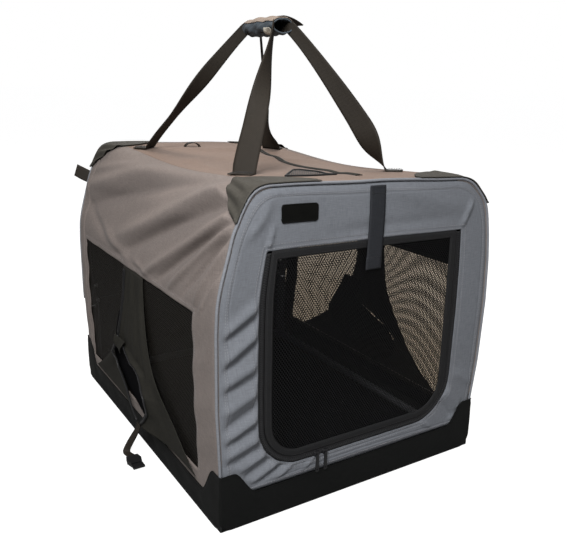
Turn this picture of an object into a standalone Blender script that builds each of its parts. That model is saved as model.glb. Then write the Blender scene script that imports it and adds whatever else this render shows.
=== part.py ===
"""Soft folding dog crate: a folding steel tube frame, a sewn cover with net windows, and webbing handles.

Metres, +Z up, front of the crate at -Y. The origin is the middle of the flat underside.
"""

import math

import bmesh
import bpy
import numpy as np
from mathutils import Matrix, Vector

# Size of the whole crate
crate_width = 0.520
crate_length = 0.660
crate_height = 0.520
half_length = crate_length / 2
top_corner_radius = 0.080

# Cloth, net and clearances
cloth = 0.003
thin_cloth = 0.0015
seat = 0.0003
swing_gap = 0.0005
cut_overrun = 0.004

# Steel frame
tube_diameter = 0.016
front_pivot_height = 0.050
rear_pivot_height = 0.180
leg_end_below_pivot = 0.0075
base_bend_radius = 0.020
base_frame_lift = 0.0025
bracket_thickness = 0.003
bracket_width = 0.016
bracket_foot = 0.016
pin_diameter = 0.006
pin_head_diameter = 0.010
pin_head_thickness = 0.002
pin_clearance = 0.0005
button_diameter = 0.008
button_stand_out = 0.006
button_pocket = 0.010
button_clearance = 0.0004
button_above_pivot = 0.034

# Boot: the coated tray round the foot of the crate
boot_end_height = 0.056
boot_side_height = 0.047
boot_corner_height = 0.097
boot_wall = 0.0025
boot_floor = 0.002
boot_corner_radius = 0.0032
boot_inner_radius = 0.0008
boot_rise_length = 0.065
board_thickness = 0.004
board_margin = 0.0225

# Front panel, door and rear window
door_width = 0.388
door_bottom = 0.082
door_header = 0.091
door_top = crate_height - door_header
door_corner_radius = 0.075
zip_width = 0.010
zip_thickness = 0.002
binding_width = 0.013
panel_foot_gap = 0.002
net_thickness = 0.0012
net_cell = 0.034
net_strand_share = 0.34
rear_window_width = 0.360
rear_window_header = 0.090
rear_window_top = crate_height - rear_window_header

# Side windows and flaps
front_band = 0.0785
rear_band = 0.048
window_header = 0.189
window_top = crate_height - window_header
window_bottom = 0.068
side_panel_foot = 0.030
flap_top_half = 0.047
flap_spread = 0.205
flap_curve_power = 2.6
flap_drop = 0.040
flap_bulge = 0.022
flap_thickness = 0.0014
flap_foot = 0.070
droop_place = -0.020
droop_half_width = 0.070
flap_stand_off = 0.005

# Sag and folds of the cover
roof_sag = 0.014
side_waist = 0.006
fold_depth = 0.0035
fold_count = 4.5
fan_centre_share = 0.15

# Webbing, grip and small pieces
web_width = 0.040
web_thickness = 0.0022
grip_rise = 0.232
grip_height = crate_height + grip_rise
grip_length = 0.120
grip_half_width = 0.024
grip_half_height = 0.015
grip_wall = 0.0025
grip_swell = 0.12
handle_tail = 0.020
handle_turn = 0.5
handle_lean = 0.075
handle_shoulder = 0.050
handle_narrow = 0.45
grip_tongue = 0.030
handle_off_centre = 0.145
handle_from_middle = 0.200
tie_width = 0.030
tie_below_top = 0.008
tie_over_door = 0.048
tie_place = 0.008
label_width = 0.073
label_height = 0.027
label_off_centre = 0.136
label_below_top = 0.042
label_thickness = 0.0015
slider_place = -0.081
slider_width = 0.011
slider_height = 0.010
slider_thickness = 0.004
slider_spacing = 0.016
pull_width = 0.007
pull_length = 0.032
pull_thickness = 0.0016
patch_depth = 0.080
patch_tail_depth = 0.016
patch_tail = 0.085
patch_drop = 0.060
patch_fade_share = 0.15
zip_from_front = 0.050
zip_from_rear = 0.125
zip_front = zip_from_front - half_length
zip_rear = half_length - zip_from_rear
zip_front_x = 0.012
zip_rear_x = 0.105
vent_left = -0.094
vent_right = -0.018
vent_peak = -0.012
vent_from_front = 0.094
vent_length = 0.093
vent_front = vent_from_front - half_length
vent_back = vent_front + vent_length
roof_loop_off_centre = 0.035
roof_loop_from_rear = 0.091
roof_loop_width = 0.024
roof_loop_height = 0.010
rear_loop_off_centre = 0.240
rear_loop_below_top = 0.068
rear_loop_height = 0.024
loop_width = 0.022
loop_reach = 0.026
buckle_width = 0.026
buckle_length = 0.026
buckle_thickness = 0.008

# Worked out from the sizes above
half_width = crate_width / 2
tube_radius = tube_diameter / 2
inner_half_width = half_width - cloth - swing_gap
inner_height = crate_height - cloth - swing_gap
leg_sweep = math.hypot(tube_radius, leg_end_below_pivot)
leg_x = inner_half_width - tube_radius
leg_y = half_length - cloth - seat - tube_radius
hoop_top = inner_height - tube_radius
bracket_x = leg_x - tube_radius - swing_gap
flat_half = half_width - top_corner_radius
corner_run = top_corner_radius * math.pi / 2
arc_runs = flat_half + np.linspace(0, 1, 9) * corner_run
panel_outline_radius = top_corner_radius - cloth - swing_gap

sides = {"left": -1, "right": 1}
ends = {"front": -1, "rear": 1}

for old in list(bpy.data.objects):
    bpy.data.objects.remove(old)


def finish(name, colour, roughness, metallic=0.0):
    """A plain Principled material."""
    material = bpy.data.materials.new(name)
    material.use_nodes = True
    shader = material.node_tree.nodes["Principled BSDF"]
    shader.inputs["Base Color"].default_value = (*colour, 1.0)
    shader.inputs["Roughness"].default_value = roughness
    shader.inputs["Metallic"].default_value = metallic
    return material


grey_cloth = finish("grey_cloth", (0.17, 0.165, 0.165), 0.85)
black_cloth = finish("black_cloth", (0.016, 0.016, 0.015), 0.7)
black_net = finish("black_net", (0.008, 0.008, 0.009), 0.6)
webbing = finish("webbing", (0.030, 0.026, 0.021), 0.8)
steel = finish("steel", (0.45, 0.45, 0.46), 0.35, 1.0)
black_plastic = finish("black_plastic", (0.012, 0.012, 0.013), 0.4)
black_metal = finish("black_metal", (0.03, 0.03, 0.032), 0.35, 1.0)
grip_cloth = finish("grip_cloth", (0.20, 0.21, 0.24), 0.9)


def add_mesh(name, points, faces, material, pivot=(0.0, 0.0, 0.0)):
    """One object from points and faces, with its origin at pivot."""
    mesh = bpy.data.meshes.new(name)
    mesh.from_pydata((np.asarray(points, float) - np.array(pivot)).tolist(), [], faces)
    mesh.validate()
    work = bmesh.new()
    work.from_mesh(mesh)
    bmesh.ops.recalc_face_normals(work, faces=work.faces)
    work.to_mesh(mesh)
    work.free()
    mesh.shade_smooth()
    mesh.set_sharp_from_angle(angle=math.radians(35))
    mesh.materials.append(material)
    thing = bpy.data.objects.new(name, mesh)
    thing.location = pivot
    bpy.context.scene.collection.objects.link(thing)
    return thing


def skin(name, outer, inner, material, pivot=(0.0, 0.0, 0.0)):
    """A closed sheet between two grids of points of the same shape."""
    rows, columns = outer.shape[:2]
    count = rows * columns
    points = np.concatenate([outer.reshape(-1, 3), inner.reshape(-1, 3)])
    faces = []

    def quad(a, b, c, d):
        faces.append((a, b, c, d))

    def index(row, column, layer):
        return layer * count + row * columns + column

    for row in range(rows - 1):
        for column in range(columns - 1):
            for layer in (0, 1):
                ring = [
                    index(row, column, layer),
                    index(row, column + 1, layer),
                    index(row + 1, column + 1, layer),
                    index(row + 1, column, layer),
                ]
                quad(*(ring if layer == 0 else ring[::-1]))
    for row in range(rows - 1):
        for column in (0, columns - 1):
            quad(
                index(row, column, 0),
                index(row + 1, column, 0),
                index(row + 1, column, 1),
                index(row, column, 1),
            )
    for column in range(columns - 1):
        for row in (0, rows - 1):
            quad(
                index(row, column, 0),
                index(row, column + 1, 0),
                index(row, column + 1, 1),
                index(row, column, 1),
            )
    return add_mesh(name, points, faces, material, pivot)


def smooth_route(points, steps):
    """Points along a Catmull-Rom curve through the given ones."""
    knots = np.asarray(points, float)
    knots = np.vstack([2 * knots[0] - knots[1], knots, 2 * knots[-1] - knots[-2]])
    found = []
    for start in range(1, len(knots) - 2):
        a, b, c, d = knots[start - 1 : start + 3]
        for t in np.arange(steps) / steps:
            found.append(
                0.5
                * (
                    2 * b
                    + (c - a) * t
                    + (2 * a - 5 * b + 4 * c - d) * t * t
                    + (3 * b - a - 3 * c + d) * t**3
                )
            )
    found.append(knots[-2])
    return np.array(found)


def ribbon(name, route, across, width, thickness, material, pivot=(0.0, 0.0, 0.0)):
    """A flat strap along route, whose width lies along the directions in across."""
    route = np.asarray(route, float)
    along = np.gradient(route, axis=0)
    along /= np.linalg.norm(along, axis=1)[:, None]
    across = np.asarray(across, float)
    across = across - (across * along).sum(1)[:, None] * along
    across /= np.linalg.norm(across, axis=1)[:, None]
    normal = np.cross(along, across)
    side = across * width / 2
    up = normal * thickness / 2
    outer = np.stack([route - side + up, route + side + up], 1)
    inner = np.stack([route - side - up, route + side - up], 1)
    return skin(name, outer, inner, material, pivot)


def tube(points, plane, diameter, closed=False, around=12):
    """A round bar along points that lie in one plane, given by the direction square to it."""
    route = np.asarray(points, float)
    before, after = np.roll(route, 1, 0), np.roll(route, -1, 0)
    if not closed:
        before[0], after[-1] = route[0], route[-1]
    along_in = route - before
    along_out = after - route
    lengths = [np.linalg.norm(a, axis=1)[:, None] for a in (along_in, along_out)]
    along = sum(np.divide(a, n, where=n > 0, out=np.zeros_like(a)) for a, n in zip((along_in, along_out), lengths))
    along /= np.linalg.norm(along, axis=1)[:, None]
    across = np.cross(along, plane)
    angles = np.linspace(0, 2 * math.pi, around, endpoint=False)
    radius = diameter / 2
    ring = radius * (np.cos(angles)[:, None, None] * across + np.sin(angles)[:, None, None] * np.array(plane, float))
    grid = route + ring
    stations = len(route)
    faces = []
    for i in range(around):
        j = (i + 1) % around
        for k in range(stations if closed else stations - 1):
            m = (k + 1) % stations
            faces.append((i * stations + k, i * stations + m, j * stations + m, j * stations + k))
    if not closed:
        faces.append([i * stations for i in range(around)])
        faces.append([i * stations + stations - 1 for i in range(around)][::-1])
    return grid.reshape(-1, 3), faces


def bar(name, start, end, diameter, material, sides_round=16, pivot=None, cutter=False):
    """A straight round bar from start to end."""
    start, end = Vector(start), Vector(end)
    pivot = Vector(pivot) if pivot is not None else Vector((0.0, 0.0, 0.0))
    work = bmesh.new()
    bmesh.ops.create_cone(
        work,
        cap_ends=True,
        segments=sides_round,
        radius1=diameter / 2,
        radius2=diameter / 2,
        depth=(end - start).length,
    )
    turn = (end - start).to_track_quat("Z", "Y").to_matrix().to_4x4()
    work.transform(Matrix.Translation((start + end) / 2 - pivot) @ turn)
    mesh = bpy.data.meshes.new(name)
    work.to_mesh(mesh)
    work.free()
    mesh.shade_smooth()
    mesh.set_sharp_from_angle(angle=math.radians(35))
    if material:
        mesh.materials.append(material)
    thing = bpy.data.objects.new(name, mesh)
    thing.location = pivot
    thing.hide_render = cutter
    if cutter:
        thing.display_type = "WIRE"
    bpy.context.scene.collection.objects.link(thing)
    return thing


def combine(thing, other, operation):
    """A live Boolean of thing with other, which becomes a guide."""
    other.hide_render = True
    other.display_type = "WIRE"
    change = thing.modifiers.new(operation.lower(), "BOOLEAN")
    change.operation = operation
    change.solver = "EXACT"
    change.object = other
    return thing


def plate(name, outline, holes, thickness, place, material, facing="front"):
    """A flat plate from an outline and holes, standing across Y or across X, centred on place."""
    curve = bpy.data.curves.new(name, "CURVE")
    curve.dimensions = "2D"
    curve.fill_mode = "BOTH"
    curve.extrude = thickness / 2
    for ring in [outline, *holes]:
        spline = curve.splines.new("POLY")
        spline.points.add(len(ring) - 1)
        for point, (across, up) in zip(spline.points, ring, strict=True):
            point.co = (across, up, 0.0, 1.0)
        spline.use_cyclic_u = True
    curve.materials.append(material)
    thing = bpy.data.objects.new(name, curve)
    thing.location = place
    quarter = math.pi / 2
    turns = {"front": (quarter, 0.0, 0.0), "side": (quarter, 0.0, quarter), "floor": (0.0, 0.0, 0.0)}
    thing.rotation_euler = turns[facing]
    bpy.context.scene.collection.objects.link(thing)
    return thing


def arc(centre, radius, first, last, steps):
    """Points on a circle between two angles in degrees."""
    angles = np.radians(np.linspace(first, last, steps + 1))
    return [(centre[0] + radius * math.cos(a), centre[1] + radius * math.sin(a)) for a in angles]


def rounded_outline(left, right, bottom, top, foot_radius, head_radius, steps=8):
    """A rectangle whose lower and upper corners have their own radii, from the lower left."""
    return [
        *arc((left + foot_radius, bottom + foot_radius), foot_radius, 180, 270, steps),
        *arc((right - foot_radius, bottom + foot_radius), foot_radius, 270, 360, steps),
        *arc((right - head_radius, top - head_radius), head_radius, 0, 90, steps),
        *arc((left + head_radius, top - head_radius), head_radius, 90, 180, steps),
    ]


def net_holes(outline, cell, strand_share, keep_clear):
    """Six-sided gaps in staggered rows, all of them inside the outline."""
    ring = np.array(outline)
    low, high = ring.min(0), ring.max(0)
    pitch_up = cell * math.sqrt(3) / 2
    gap = cell * (1 - strand_share) / math.sqrt(3)
    corners = [(math.cos(math.radians(a)), math.sin(math.radians(a))) for a in range(30, 390, 60)]
    rows = int((high[1] - low[1]) // pitch_up)
    columns = int((high[0] - low[0]) // cell)
    middle = (low + high) / 2
    nxt = np.roll(ring, -1, 0)
    step = nxt - ring
    found = []
    for row in range(-rows // 2, rows // 2 + 1):
        for column in range(-columns // 2 - 1, columns // 2 + 2):
            centre = middle + ((column + row % 2 / 2) * cell, row * pitch_up)
            reach = np.clip(((centre - ring) * step).sum(1) / (step * step).sum(1), 0, 1)
            nearest = np.linalg.norm(ring + reach[:, None] * step - centre, axis=1).min()
            crossing = (ring[:, 1] > centre[1]) != (nxt[:, 1] > centre[1])
            at = ring[crossing, 0] + (centre[1] - ring[crossing, 1]) * step[crossing, 0] / step[crossing, 1]
            inside = (at > centre[0]).sum() % 2
            if inside and nearest > gap + keep_clear:
                found.append([(centre[0] + gap * x, centre[1] + gap * y) for x, y in corners])
    return found


def sag_at(y):
    """How far the roof hangs between the hoops at y."""
    return roof_sag * np.cos(np.pi * np.clip(y / crate_length, -0.5, 0.5)) ** 2


def cover_point(side, run, y, lift):
    """Points of the cover: run is the way from the roof's middle down to one side, lift is outwards."""
    run, y, lift = np.broadcast_arrays(np.asarray(run, float), y, lift)
    turn = np.clip((run - flat_half) / top_corner_radius, 0, math.pi / 2)
    down = np.clip(run - flat_half - corner_run, 0, None)
    radius = top_corner_radius + lift
    x = np.minimum(run, flat_half) + radius * np.sin(turn)
    z = crate_height - top_corner_radius + radius * np.cos(turn) - down
    waist = side_waist * np.sin(turn) * np.cos(np.pi * y / crate_length) ** 2
    waist = waist * np.clip((z - window_top) / (crate_height - window_top), 0, 1) * 2
    z = z - sag_at(y) * np.cos(turn) ** 2
    return np.stack([side * (x - waist), y, z], -1)


def fold_lift(run, y):
    """Soft folds that fan out from the front upper corner."""
    drop = np.clip((run - flat_half) / (crate_height - window_top + corner_run), 0, 1)
    back = np.clip((y + half_length) / crate_length, 0, 1)
    fan = np.arctan2(back, drop + fan_centre_share)
    behind_patch = np.clip((np.minimum(back, 1 - back) - patch_depth / crate_length) / patch_fade_share, 0, 1)
    edges = behind_patch * np.sin(np.pi * drop)
    return fold_depth * edges * np.cos(2 * np.pi * fold_count * fan / (np.pi / 2))


def run_at(z):
    """The way down the cover at which its straight side has height z."""
    return flat_half + corner_run + crate_height - top_corner_radius - z


def dense_outline(half_x, half_y, radius):
    """A rounded rectangle with extra points along its sides, closer together near the corners."""
    ring = rounded_outline(-half_x, half_x, -half_y, half_y, radius, radius)
    found = []
    for start, end in zip(ring, ring[1:] + ring[:1], strict=True):
        pieces = 12 if math.dist(start, end) > crate_width / 2 else 1
        shares = (1 - np.cos(np.pi * np.linspace(0, 1, pieces, endpoint=False))) / 2
        for share in shares:
            found.append((start[0] + (end[0] - start[0]) * share, start[1] + (end[1] - start[1]) * share))
    return np.array(found)


def build_base():
    """Boot, floor board and the base loop of the frame."""
    rim = half_width + seat + boot_wall
    rim_y = half_length + seat + boot_wall
    dense = dense_outline(rim, rim_y, boot_corner_radius)
    inner = dense_outline(rim - boot_wall, rim_y - boot_wall, boot_inner_radius)
    on_end = abs(dense[:, 1]) > rim_y - boot_corner_radius
    middle = np.where(on_end, boot_end_height, boot_side_height)
    far = np.hypot(rim - abs(dense[:, 0]), rim_y - abs(dense[:, 1]))
    near = np.clip(1 - far / boot_rise_length, 0, 1)
    top = middle + (boot_corner_height - middle) * near * (2 - near)
    count = len(dense)
    levels = [
        np.column_stack([dense, np.zeros(count)]),
        np.column_stack([dense, top]),
        np.column_stack([inner, top]),
        np.column_stack([inner, np.full(count, boot_floor)]),
    ]
    faces = [list(range(count))[::-1], [3 * count + i for i in range(count)]]
    for level in range(3):
        for i in range(count):
            j = (i + 1) % count
            a, b = level * count, (level + 1) * count
            faces.append((a + i, a + j, b + j, b + i))
    add_mesh("boot", np.concatenate(levels), faces, black_cloth)

    board_x = half_width - board_margin
    board_y = half_length - board_margin
    board = rounded_outline(-board_x, board_x, -board_y, board_y, tube_radius, tube_radius, 4)
    middle = boot_floor + seat + board_thickness / 2
    plate("floor_board", board, [], board_thickness, (0, 0, middle), black_cloth, "floor")

    centre_z = base_frame_lift + tube_radius
    loop = rounded_outline(-leg_x, leg_x, -leg_y, leg_y, base_bend_radius, base_bend_radius, 6)
    around = [(x, y, centre_z) for x, y in loop]
    points, faces = tube(around, (0.0, 0.0, 1.0), tube_diameter, closed=True)
    add_mesh("base_frame", points, faces, steel)


build_base()


def bracket(side, sign, end, end_sign, pivot_height):
    """An L-shaped bracket on the base loop with a round head for the pin."""
    y = end_sign * leg_y
    half = bracket_width / 2
    foot_z = base_frame_lift + tube_diameter + seat
    outer = bracket_x
    inner = outer - bracket_thickness
    section = [(-half, foot_z), (half, foot_z), *arc((0.0, pivot_height), half, 0, 180, 10)]
    count = len(section)
    points = [(sign * x, y + across, up) for x in (outer, inner) for across, up in section]
    faces = [list(range(count)), [count + i for i in range(count)][::-1]]
    faces += [(i, count + i, count + (i + 1) % count, (i + 1) % count) for i in range(count)]
    thing = add_mesh(f"{end}_hinge_bracket_{side}", points, faces, steel)
    toe = inner - bracket_foot
    corners = [(toe, foot_z), (outer, foot_z), (outer, foot_z + bracket_thickness), (toe, foot_z + bracket_thickness)]
    margin = half - swing_gap
    points = [(sign * x, y + across, z) for across in (-margin, margin) for x, z in corners]
    faces = [(0, 1, 2, 3), (7, 6, 5, 4)] + [(i, 4 + i, 4 + (i + 1) % 4, (i + 1) % 4) for i in range(4)]
    foot = add_mesh(f"{end}_{side}_foot_guide", points, faces, steel)
    combine(thing, foot, "UNION")
    start = (sign * (inner - cut_overrun), y, pivot_height)
    stop = (sign * (outer + cut_overrun), y, pivot_height)
    wide = pin_diameter + 2 * pin_clearance
    hole = bar(f"{end}_{side}_bracket_hole_guide", start, stop, wide, None, cutter=True)
    combine(thing, hole, "DIFFERENCE")
    return thing


def hinge_pin(side, sign, end, end_sign, pivot_height):
    """The headed pin on which the leg turns, with its head inside the bracket."""
    y = end_sign * leg_y
    head_x = bracket_x - bracket_thickness - seat
    stem_end = leg_x + tube_radius - seat
    name = f"{end}_hinge_pin_{side}"
    stem = bar(name, (sign * head_x, y, pivot_height), (sign * stem_end, y, pivot_height), pin_diameter, steel)
    head_in = (sign * (head_x - pin_head_thickness), y, pivot_height)
    head_out = (sign * (head_x + seat / 2), y, pivot_height)
    head = bar(f"{end}_{side}_head_guide", head_in, head_out, pin_head_diameter, None, cutter=True)
    return combine(stem, head, "UNION")


def hoop(end, end_sign, pivot_height):
    """A U of steel tube with pin holes in its legs and pockets for the release buttons."""
    y = end_sign * leg_y
    foot = pivot_height - leg_end_below_pivot
    bend = leg_x - flat_half
    centre_x = leg_x - bend
    centre_z = hoop_top - bend
    route = [(-leg_x, y, foot)]
    route += [(x, y, z) for x, z in arc((-centre_x, centre_z), bend, 180, 90, 8)]
    route += [(x, y, z) for x, z in arc((centre_x, centre_z), bend, 90, 0, 8)]
    route += [(leg_x, y, foot)]
    points, faces = tube(route, (0.0, 1.0, 0.0), tube_diameter)
    thing = add_mesh(f"{end}_hoop", points, faces, steel, (0.0, y, pivot_height))
    for side, sign in sides.items():
        reach = tube_radius + cut_overrun
        start = (sign * (leg_x - reach), y, pivot_height)
        stop = (sign * (leg_x + reach), y, pivot_height)
        wide = pin_diameter + 2 * pin_clearance
        hole = bar(f"{end}_{side}_leg_hole_guide", start, stop, wide, None, cutter=True)
        combine(thing, hole, "DIFFERENCE")
        level = pivot_height + button_above_pivot
        start = (sign * (leg_x - reach), y, level)
        stop = (sign * (leg_x - tube_radius + button_pocket), y, level)
        wide = button_diameter + 2 * button_clearance
        pocket = bar(f"{end}_{side}_pocket_guide", start, stop, wide, None, cutter=True)
        combine(thing, pocket, "DIFFERENCE")
    return thing


def release_button(side, sign, end, end_sign, pivot_height):
    """A domed push button in the leg's pocket, standing out towards the cabin."""
    y = end_sign * leg_y
    level = pivot_height + button_above_pivot
    face = leg_x - tube_radius
    tip = face - button_stand_out
    back = face + button_pocket - button_stand_out - swing_gap
    radius = button_diameter / 2
    stations_share = [(0.0, 0.0), (0.12, 0.55), (0.3, 0.85), (0.55, 1.0)]
    rings = [(tip + share_x * radius, share_r * radius) for share_x, share_r in stations_share]
    rings.append((back, radius))
    around = 16
    points = [(sign * rings[0][0], y, level)]
    for x, r in rings[1:]:
        for i in range(around):
            a = 2 * math.pi * i / around
            points.append((sign * x, y + r * math.cos(a), level + r * math.sin(a)))
    faces = [(0, 1 + i, 1 + (i + 1) % around) for i in range(around)]
    for ring in range(len(rings) - 2):
        base = 1 + ring * around
        for i in range(around):
            j = (i + 1) % around
            faces.append((base + i, base + around + i, base + around + j, base + j))
    last = 1 + (len(rings) - 2) * around
    faces.append([last + i for i in range(around)])
    pivot = (sign * face, y, level)
    return add_mesh(f"{end}_release_button_{side}", points, faces, black_plastic, pivot)


for end, end_sign in ends.items():
    height = front_pivot_height if end == "front" else rear_pivot_height
    hoop(end, end_sign, height)
    for side, sign in sides.items():
        bracket(side, sign, end, end_sign, height)
        hinge_pin(side, sign, end, end_sign, height)
        release_button(side, sign, end, end_sign, height)

for side, sign in sides.items():
    foot = base_frame_lift + tube_diameter + seat
    head = rear_pivot_height - leg_sweep - swing_gap
    bar(f"rear_post_{side}", (sign * leg_x, leg_y, foot), (sign * leg_x, leg_y, head), tube_diameter, steel)


def build_front():
    """Front panel, zip, door, tie strap, label patch, sliders and pulls."""
    y = -half_length + cloth / 2
    foot = front_pivot_height + panel_foot_gap
    width = inner_half_width
    outline = rounded_outline(-width, width, foot, inner_height, cloth, panel_outline_radius, 10)
    half = door_width / 2
    opening = rounded_outline(-half, half, door_bottom, door_top, door_corner_radius, cloth, 8)
    plate("front_panel", outline, [opening], cloth, (0, y, 0), grey_cloth)

    zip_out = half - seat
    zip_in = half - zip_width
    foot_out = door_bottom + seat
    foot_in = door_bottom + zip_width
    top = door_top - cloth
    radius_out = door_corner_radius - seat
    radius_in = door_corner_radius - zip_width
    outer_leg = arc((-zip_out + radius_out, foot_out + radius_out), radius_out, 180, 270, 8)
    outer_leg += arc((zip_out - radius_out, foot_out + radius_out), radius_out, 270, 360, 8)
    inner_leg = arc((zip_in - radius_in, foot_in + radius_in), radius_in, 360, 270, 8)
    inner_leg += arc((-zip_in + radius_in, foot_in + radius_in), radius_in, 270, 180, 8)
    chain = [(-zip_out, top), *outer_leg, (zip_out, top), (zip_in, top), *inner_leg, (-zip_in, top)]
    chain_y = -half_length + zip_thickness / 2 + swing_gap
    plate("front_zip_chain", chain, [], zip_thickness, (0, chain_y, 0), black_plastic)

    leaf = zip_in - swing_gap
    leaf_foot = foot_in + swing_gap
    leaf_top = door_top - swing_gap
    radius = radius_in - swing_gap
    edge = rounded_outline(-leaf, leaf, leaf_foot, leaf_top, radius, swing_gap, 8)
    inner = leaf - binding_width
    inner_foot = leaf_foot + binding_width
    inner_top = leaf_top - binding_width
    inner_radius = radius - binding_width
    hole = rounded_outline(-inner, inner, inner_foot, inner_top, inner_radius, thin_cloth, 8)
    leaf_y = -half_length + swing_gap + thin_cloth / 2
    pivot = Vector((0.0, -half_length, door_top))
    frame = plate("door_binding", edge, [hole], thin_cloth, (0, leaf_y, 0), black_cloth)
    net_edge = rounded_outline(
        -inner + seat, inner - seat, inner_foot + seat, inner_top - seat, inner_radius - seat, thin_cloth, 8
    )
    holes = net_holes(net_edge, net_cell, net_strand_share, thin_cloth)
    net = plate("door_net", net_edge, holes, net_thickness, (0, leaf_y, 0), black_net)
    for thing in (frame, net):
        hang(thing, pivot)

    top_fold = crate_height - tie_below_top
    strap_y = -half_length - seat - web_thickness / 2
    length = top_fold - door_top + tie_over_door
    shares = np.linspace(0, 1, 9)
    route = [(tie_place, strap_y - thin_cloth * math.sin(math.pi * s), top_fold - length * s) for s in shares]
    tie_pivot = (tie_place, -half_length - seat - web_thickness, top_fold)
    ribbon("door_tie_strap", route, [(1, 0, 0)] * len(route), tie_width, web_thickness, webbing, tie_pivot)

    x = -label_off_centre
    z = crate_height - label_below_top
    patch = rounded_outline(
        -label_width / 2, label_width / 2, -label_height / 2, label_height / 2, cloth, cloth, 4
    )
    patch_y = -half_length - seat - label_thickness / 2
    plate("label_patch", patch, [], label_thickness, (x, patch_y, z), black_cloth)

    for side, sign in sides.items():
        x = slider_place + sign * slider_spacing / 2
        z = door_bottom + zip_width / 2
        y_near = -half_length + swing_gap - seat
        y_far = y_near - slider_thickness
        nose = slider_width / 2
        share_steps = [(-1.0, -0.6), (-0.5, -1.0), (0.6, -0.8), (1.0, -0.5), (1.0, 0.5), (0.6, 0.8), (-0.5, 1.0), (-1.0, 0.6)]
        ring = [(x + sign * a * nose, z + b * slider_height / 2 * 0.96) for a, b in share_steps]
        count = len(ring)
        points = [(a, y_near, b) for a, b in ring]
        points += [(x + (a - x) * 0.8, y_far, z + (b - z) * 0.8) for a, b in ring]
        faces = [list(range(count)), [count + i for i in range(count)][::-1]]
        faces += [(i, count + i, count + (i + 1) % count, (i + 1) % count) for i in range(count)]
        add_mesh(f"zip_slider_{side}", points, faces, black_metal, (x, y_near, z))

        hinge_y = y_far - seat - pull_thickness / 2
        half_pull = pull_width / 2
        length = pull_length
        shape = [
            (-half_pull, -length + half_pull),
            *arc((0.0, -length + half_pull), half_pull, 180, 360, 8)[1:-1],
            (half_pull, -length + half_pull),
            (half_pull * 0.6, 0.0),
            (-half_pull * 0.6, 0.0),
        ]
        eye = arc((0.0, -length + half_pull * 1.3), half_pull * 0.45, 0, 315, 7)
        pull = plate(f"pull_tab_{side}", shape, [eye], pull_thickness, (x, hinge_y, z), black_metal)
        pull.location = (x, hinge_y, z)


def hang(thing, pivot):
    """Moves a plate's origin to pivot, leaving its shape where it is."""
    turn = thing.rotation_euler.to_matrix().to_4x4()
    place = Matrix.Translation(thing.location) @ turn
    shift = place.inverted() @ Vector(pivot)
    for spline in thing.data.splines:
        for point in spline.points:
            point.co = (point.co[0] - shift[0], point.co[1] - shift[1], point.co[2], 1.0)
    thing.location = place @ Vector((shift[0], shift[1], 0.0))


def build_rear():
    """Rear panel with its net window."""
    y = half_length - cloth / 2
    foot = front_pivot_height + panel_foot_gap
    width = inner_half_width
    low = rear_pivot_height + panel_foot_gap
    outline = rounded_outline(-width, width, low, inner_height, cloth, panel_outline_radius, 10)
    half = rear_window_width / 2
    window = rounded_outline(-half, half, low + front_band / 2, rear_window_top, door_corner_radius, cloth, 8)
    plate("rear_panel", outline, [window], cloth, (0, y, 0), grey_cloth)
    inner = half - seat
    edge = rounded_outline(
        -inner, inner, low + front_band / 2 + seat, rear_window_top - seat, door_corner_radius - seat, cloth, 8
    )
    holes = net_holes(edge, net_cell, net_strand_share, cloth)
    plate("rear_net", edge, holes, net_thickness, (0, y, 0), black_net)
    skirt = rounded_outline(-width, width, foot, rear_pivot_height - leg_sweep - swing_gap, cloth, cloth, 4)
    plate("rear_lower_panel", skirt, [], cloth, (0, y, 0), grey_cloth)


def build_cover():
    """Roof, side panels and side nets."""
    rows_y = np.linspace(-half_length, half_length, 19)
    runs = np.linspace(-1, 1, 9) * (flat_half - seat / 2)
    grid_y, grid_x = np.meshgrid(rows_y, runs, indexing="ij")
    roof = [cover_point(np.sign(grid_x) + (grid_x == 0), abs(grid_x), grid_y, lift) for lift in (0, -cloth)]
    skin("roof_panel", roof[0], roof[1], grey_cloth)

    front = -half_length + front_band
    rear = half_length - rear_band
    for side, sign in sides.items():
        stations = np.concatenate(
            [
                [arc_runs[0] + seat / 2],
                arc_runs[1:],
                run_at(np.linspace(crate_height - top_corner_radius, window_top, 7)[1:]),
            ]
        )
        rows_y = np.linspace(-half_length, half_length, 23)
        grid_y, grid_run = np.meshgrid(rows_y, stations, indexing="ij")
        folds = fold_lift(grid_run, grid_y)
        grids = [cover_point(sign, grid_run, grid_y, lift + folds) for lift in (0, -cloth)]
        upper = skin(f"side_panel_{side}", grids[0], grids[1], grey_cloth)
        overlap = window_top + swing_gap
        legs = [
            (-half_length, overlap),
            (-half_length, side_panel_foot),
            (half_length, side_panel_foot),
            (half_length, overlap),
            (rear, overlap),
            (rear, window_bottom),
            (front, window_bottom),
            (front, overlap),
        ]
        middle = sign * (half_width - cloth / 2)
        points = [(middle - cloth / 2, a, b) for a, b in legs] + [(middle + cloth / 2, a, b) for a, b in legs]
        count = len(legs)
        faces = [(0, 1, 6, 7), (1, 2, 5, 6), (2, 3, 4, 5)]
        faces += [tuple(count + i for i in face[::-1]) for face in faces]
        faces += [(i, count + i, count + (i + 1) % count, (i + 1) % count) for i in range(count)]
        frame = add_mesh(f"side_{side}_frame_guide", points, faces, grey_cloth)
        combine(upper, frame, "UNION")

        edge = rounded_outline(
            front + seat, rear - seat, window_bottom + seat, window_top - seat, swing_gap, swing_gap, 1
        )
        holes = net_holes(edge, net_cell * 1.5, net_strand_share, cloth)
        place = (sign * (half_width - cloth + net_thickness / 2), 0, 0)
        plate(f"side_net_{side}", edge, holes, net_thickness, place, black_net, "side")


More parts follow.
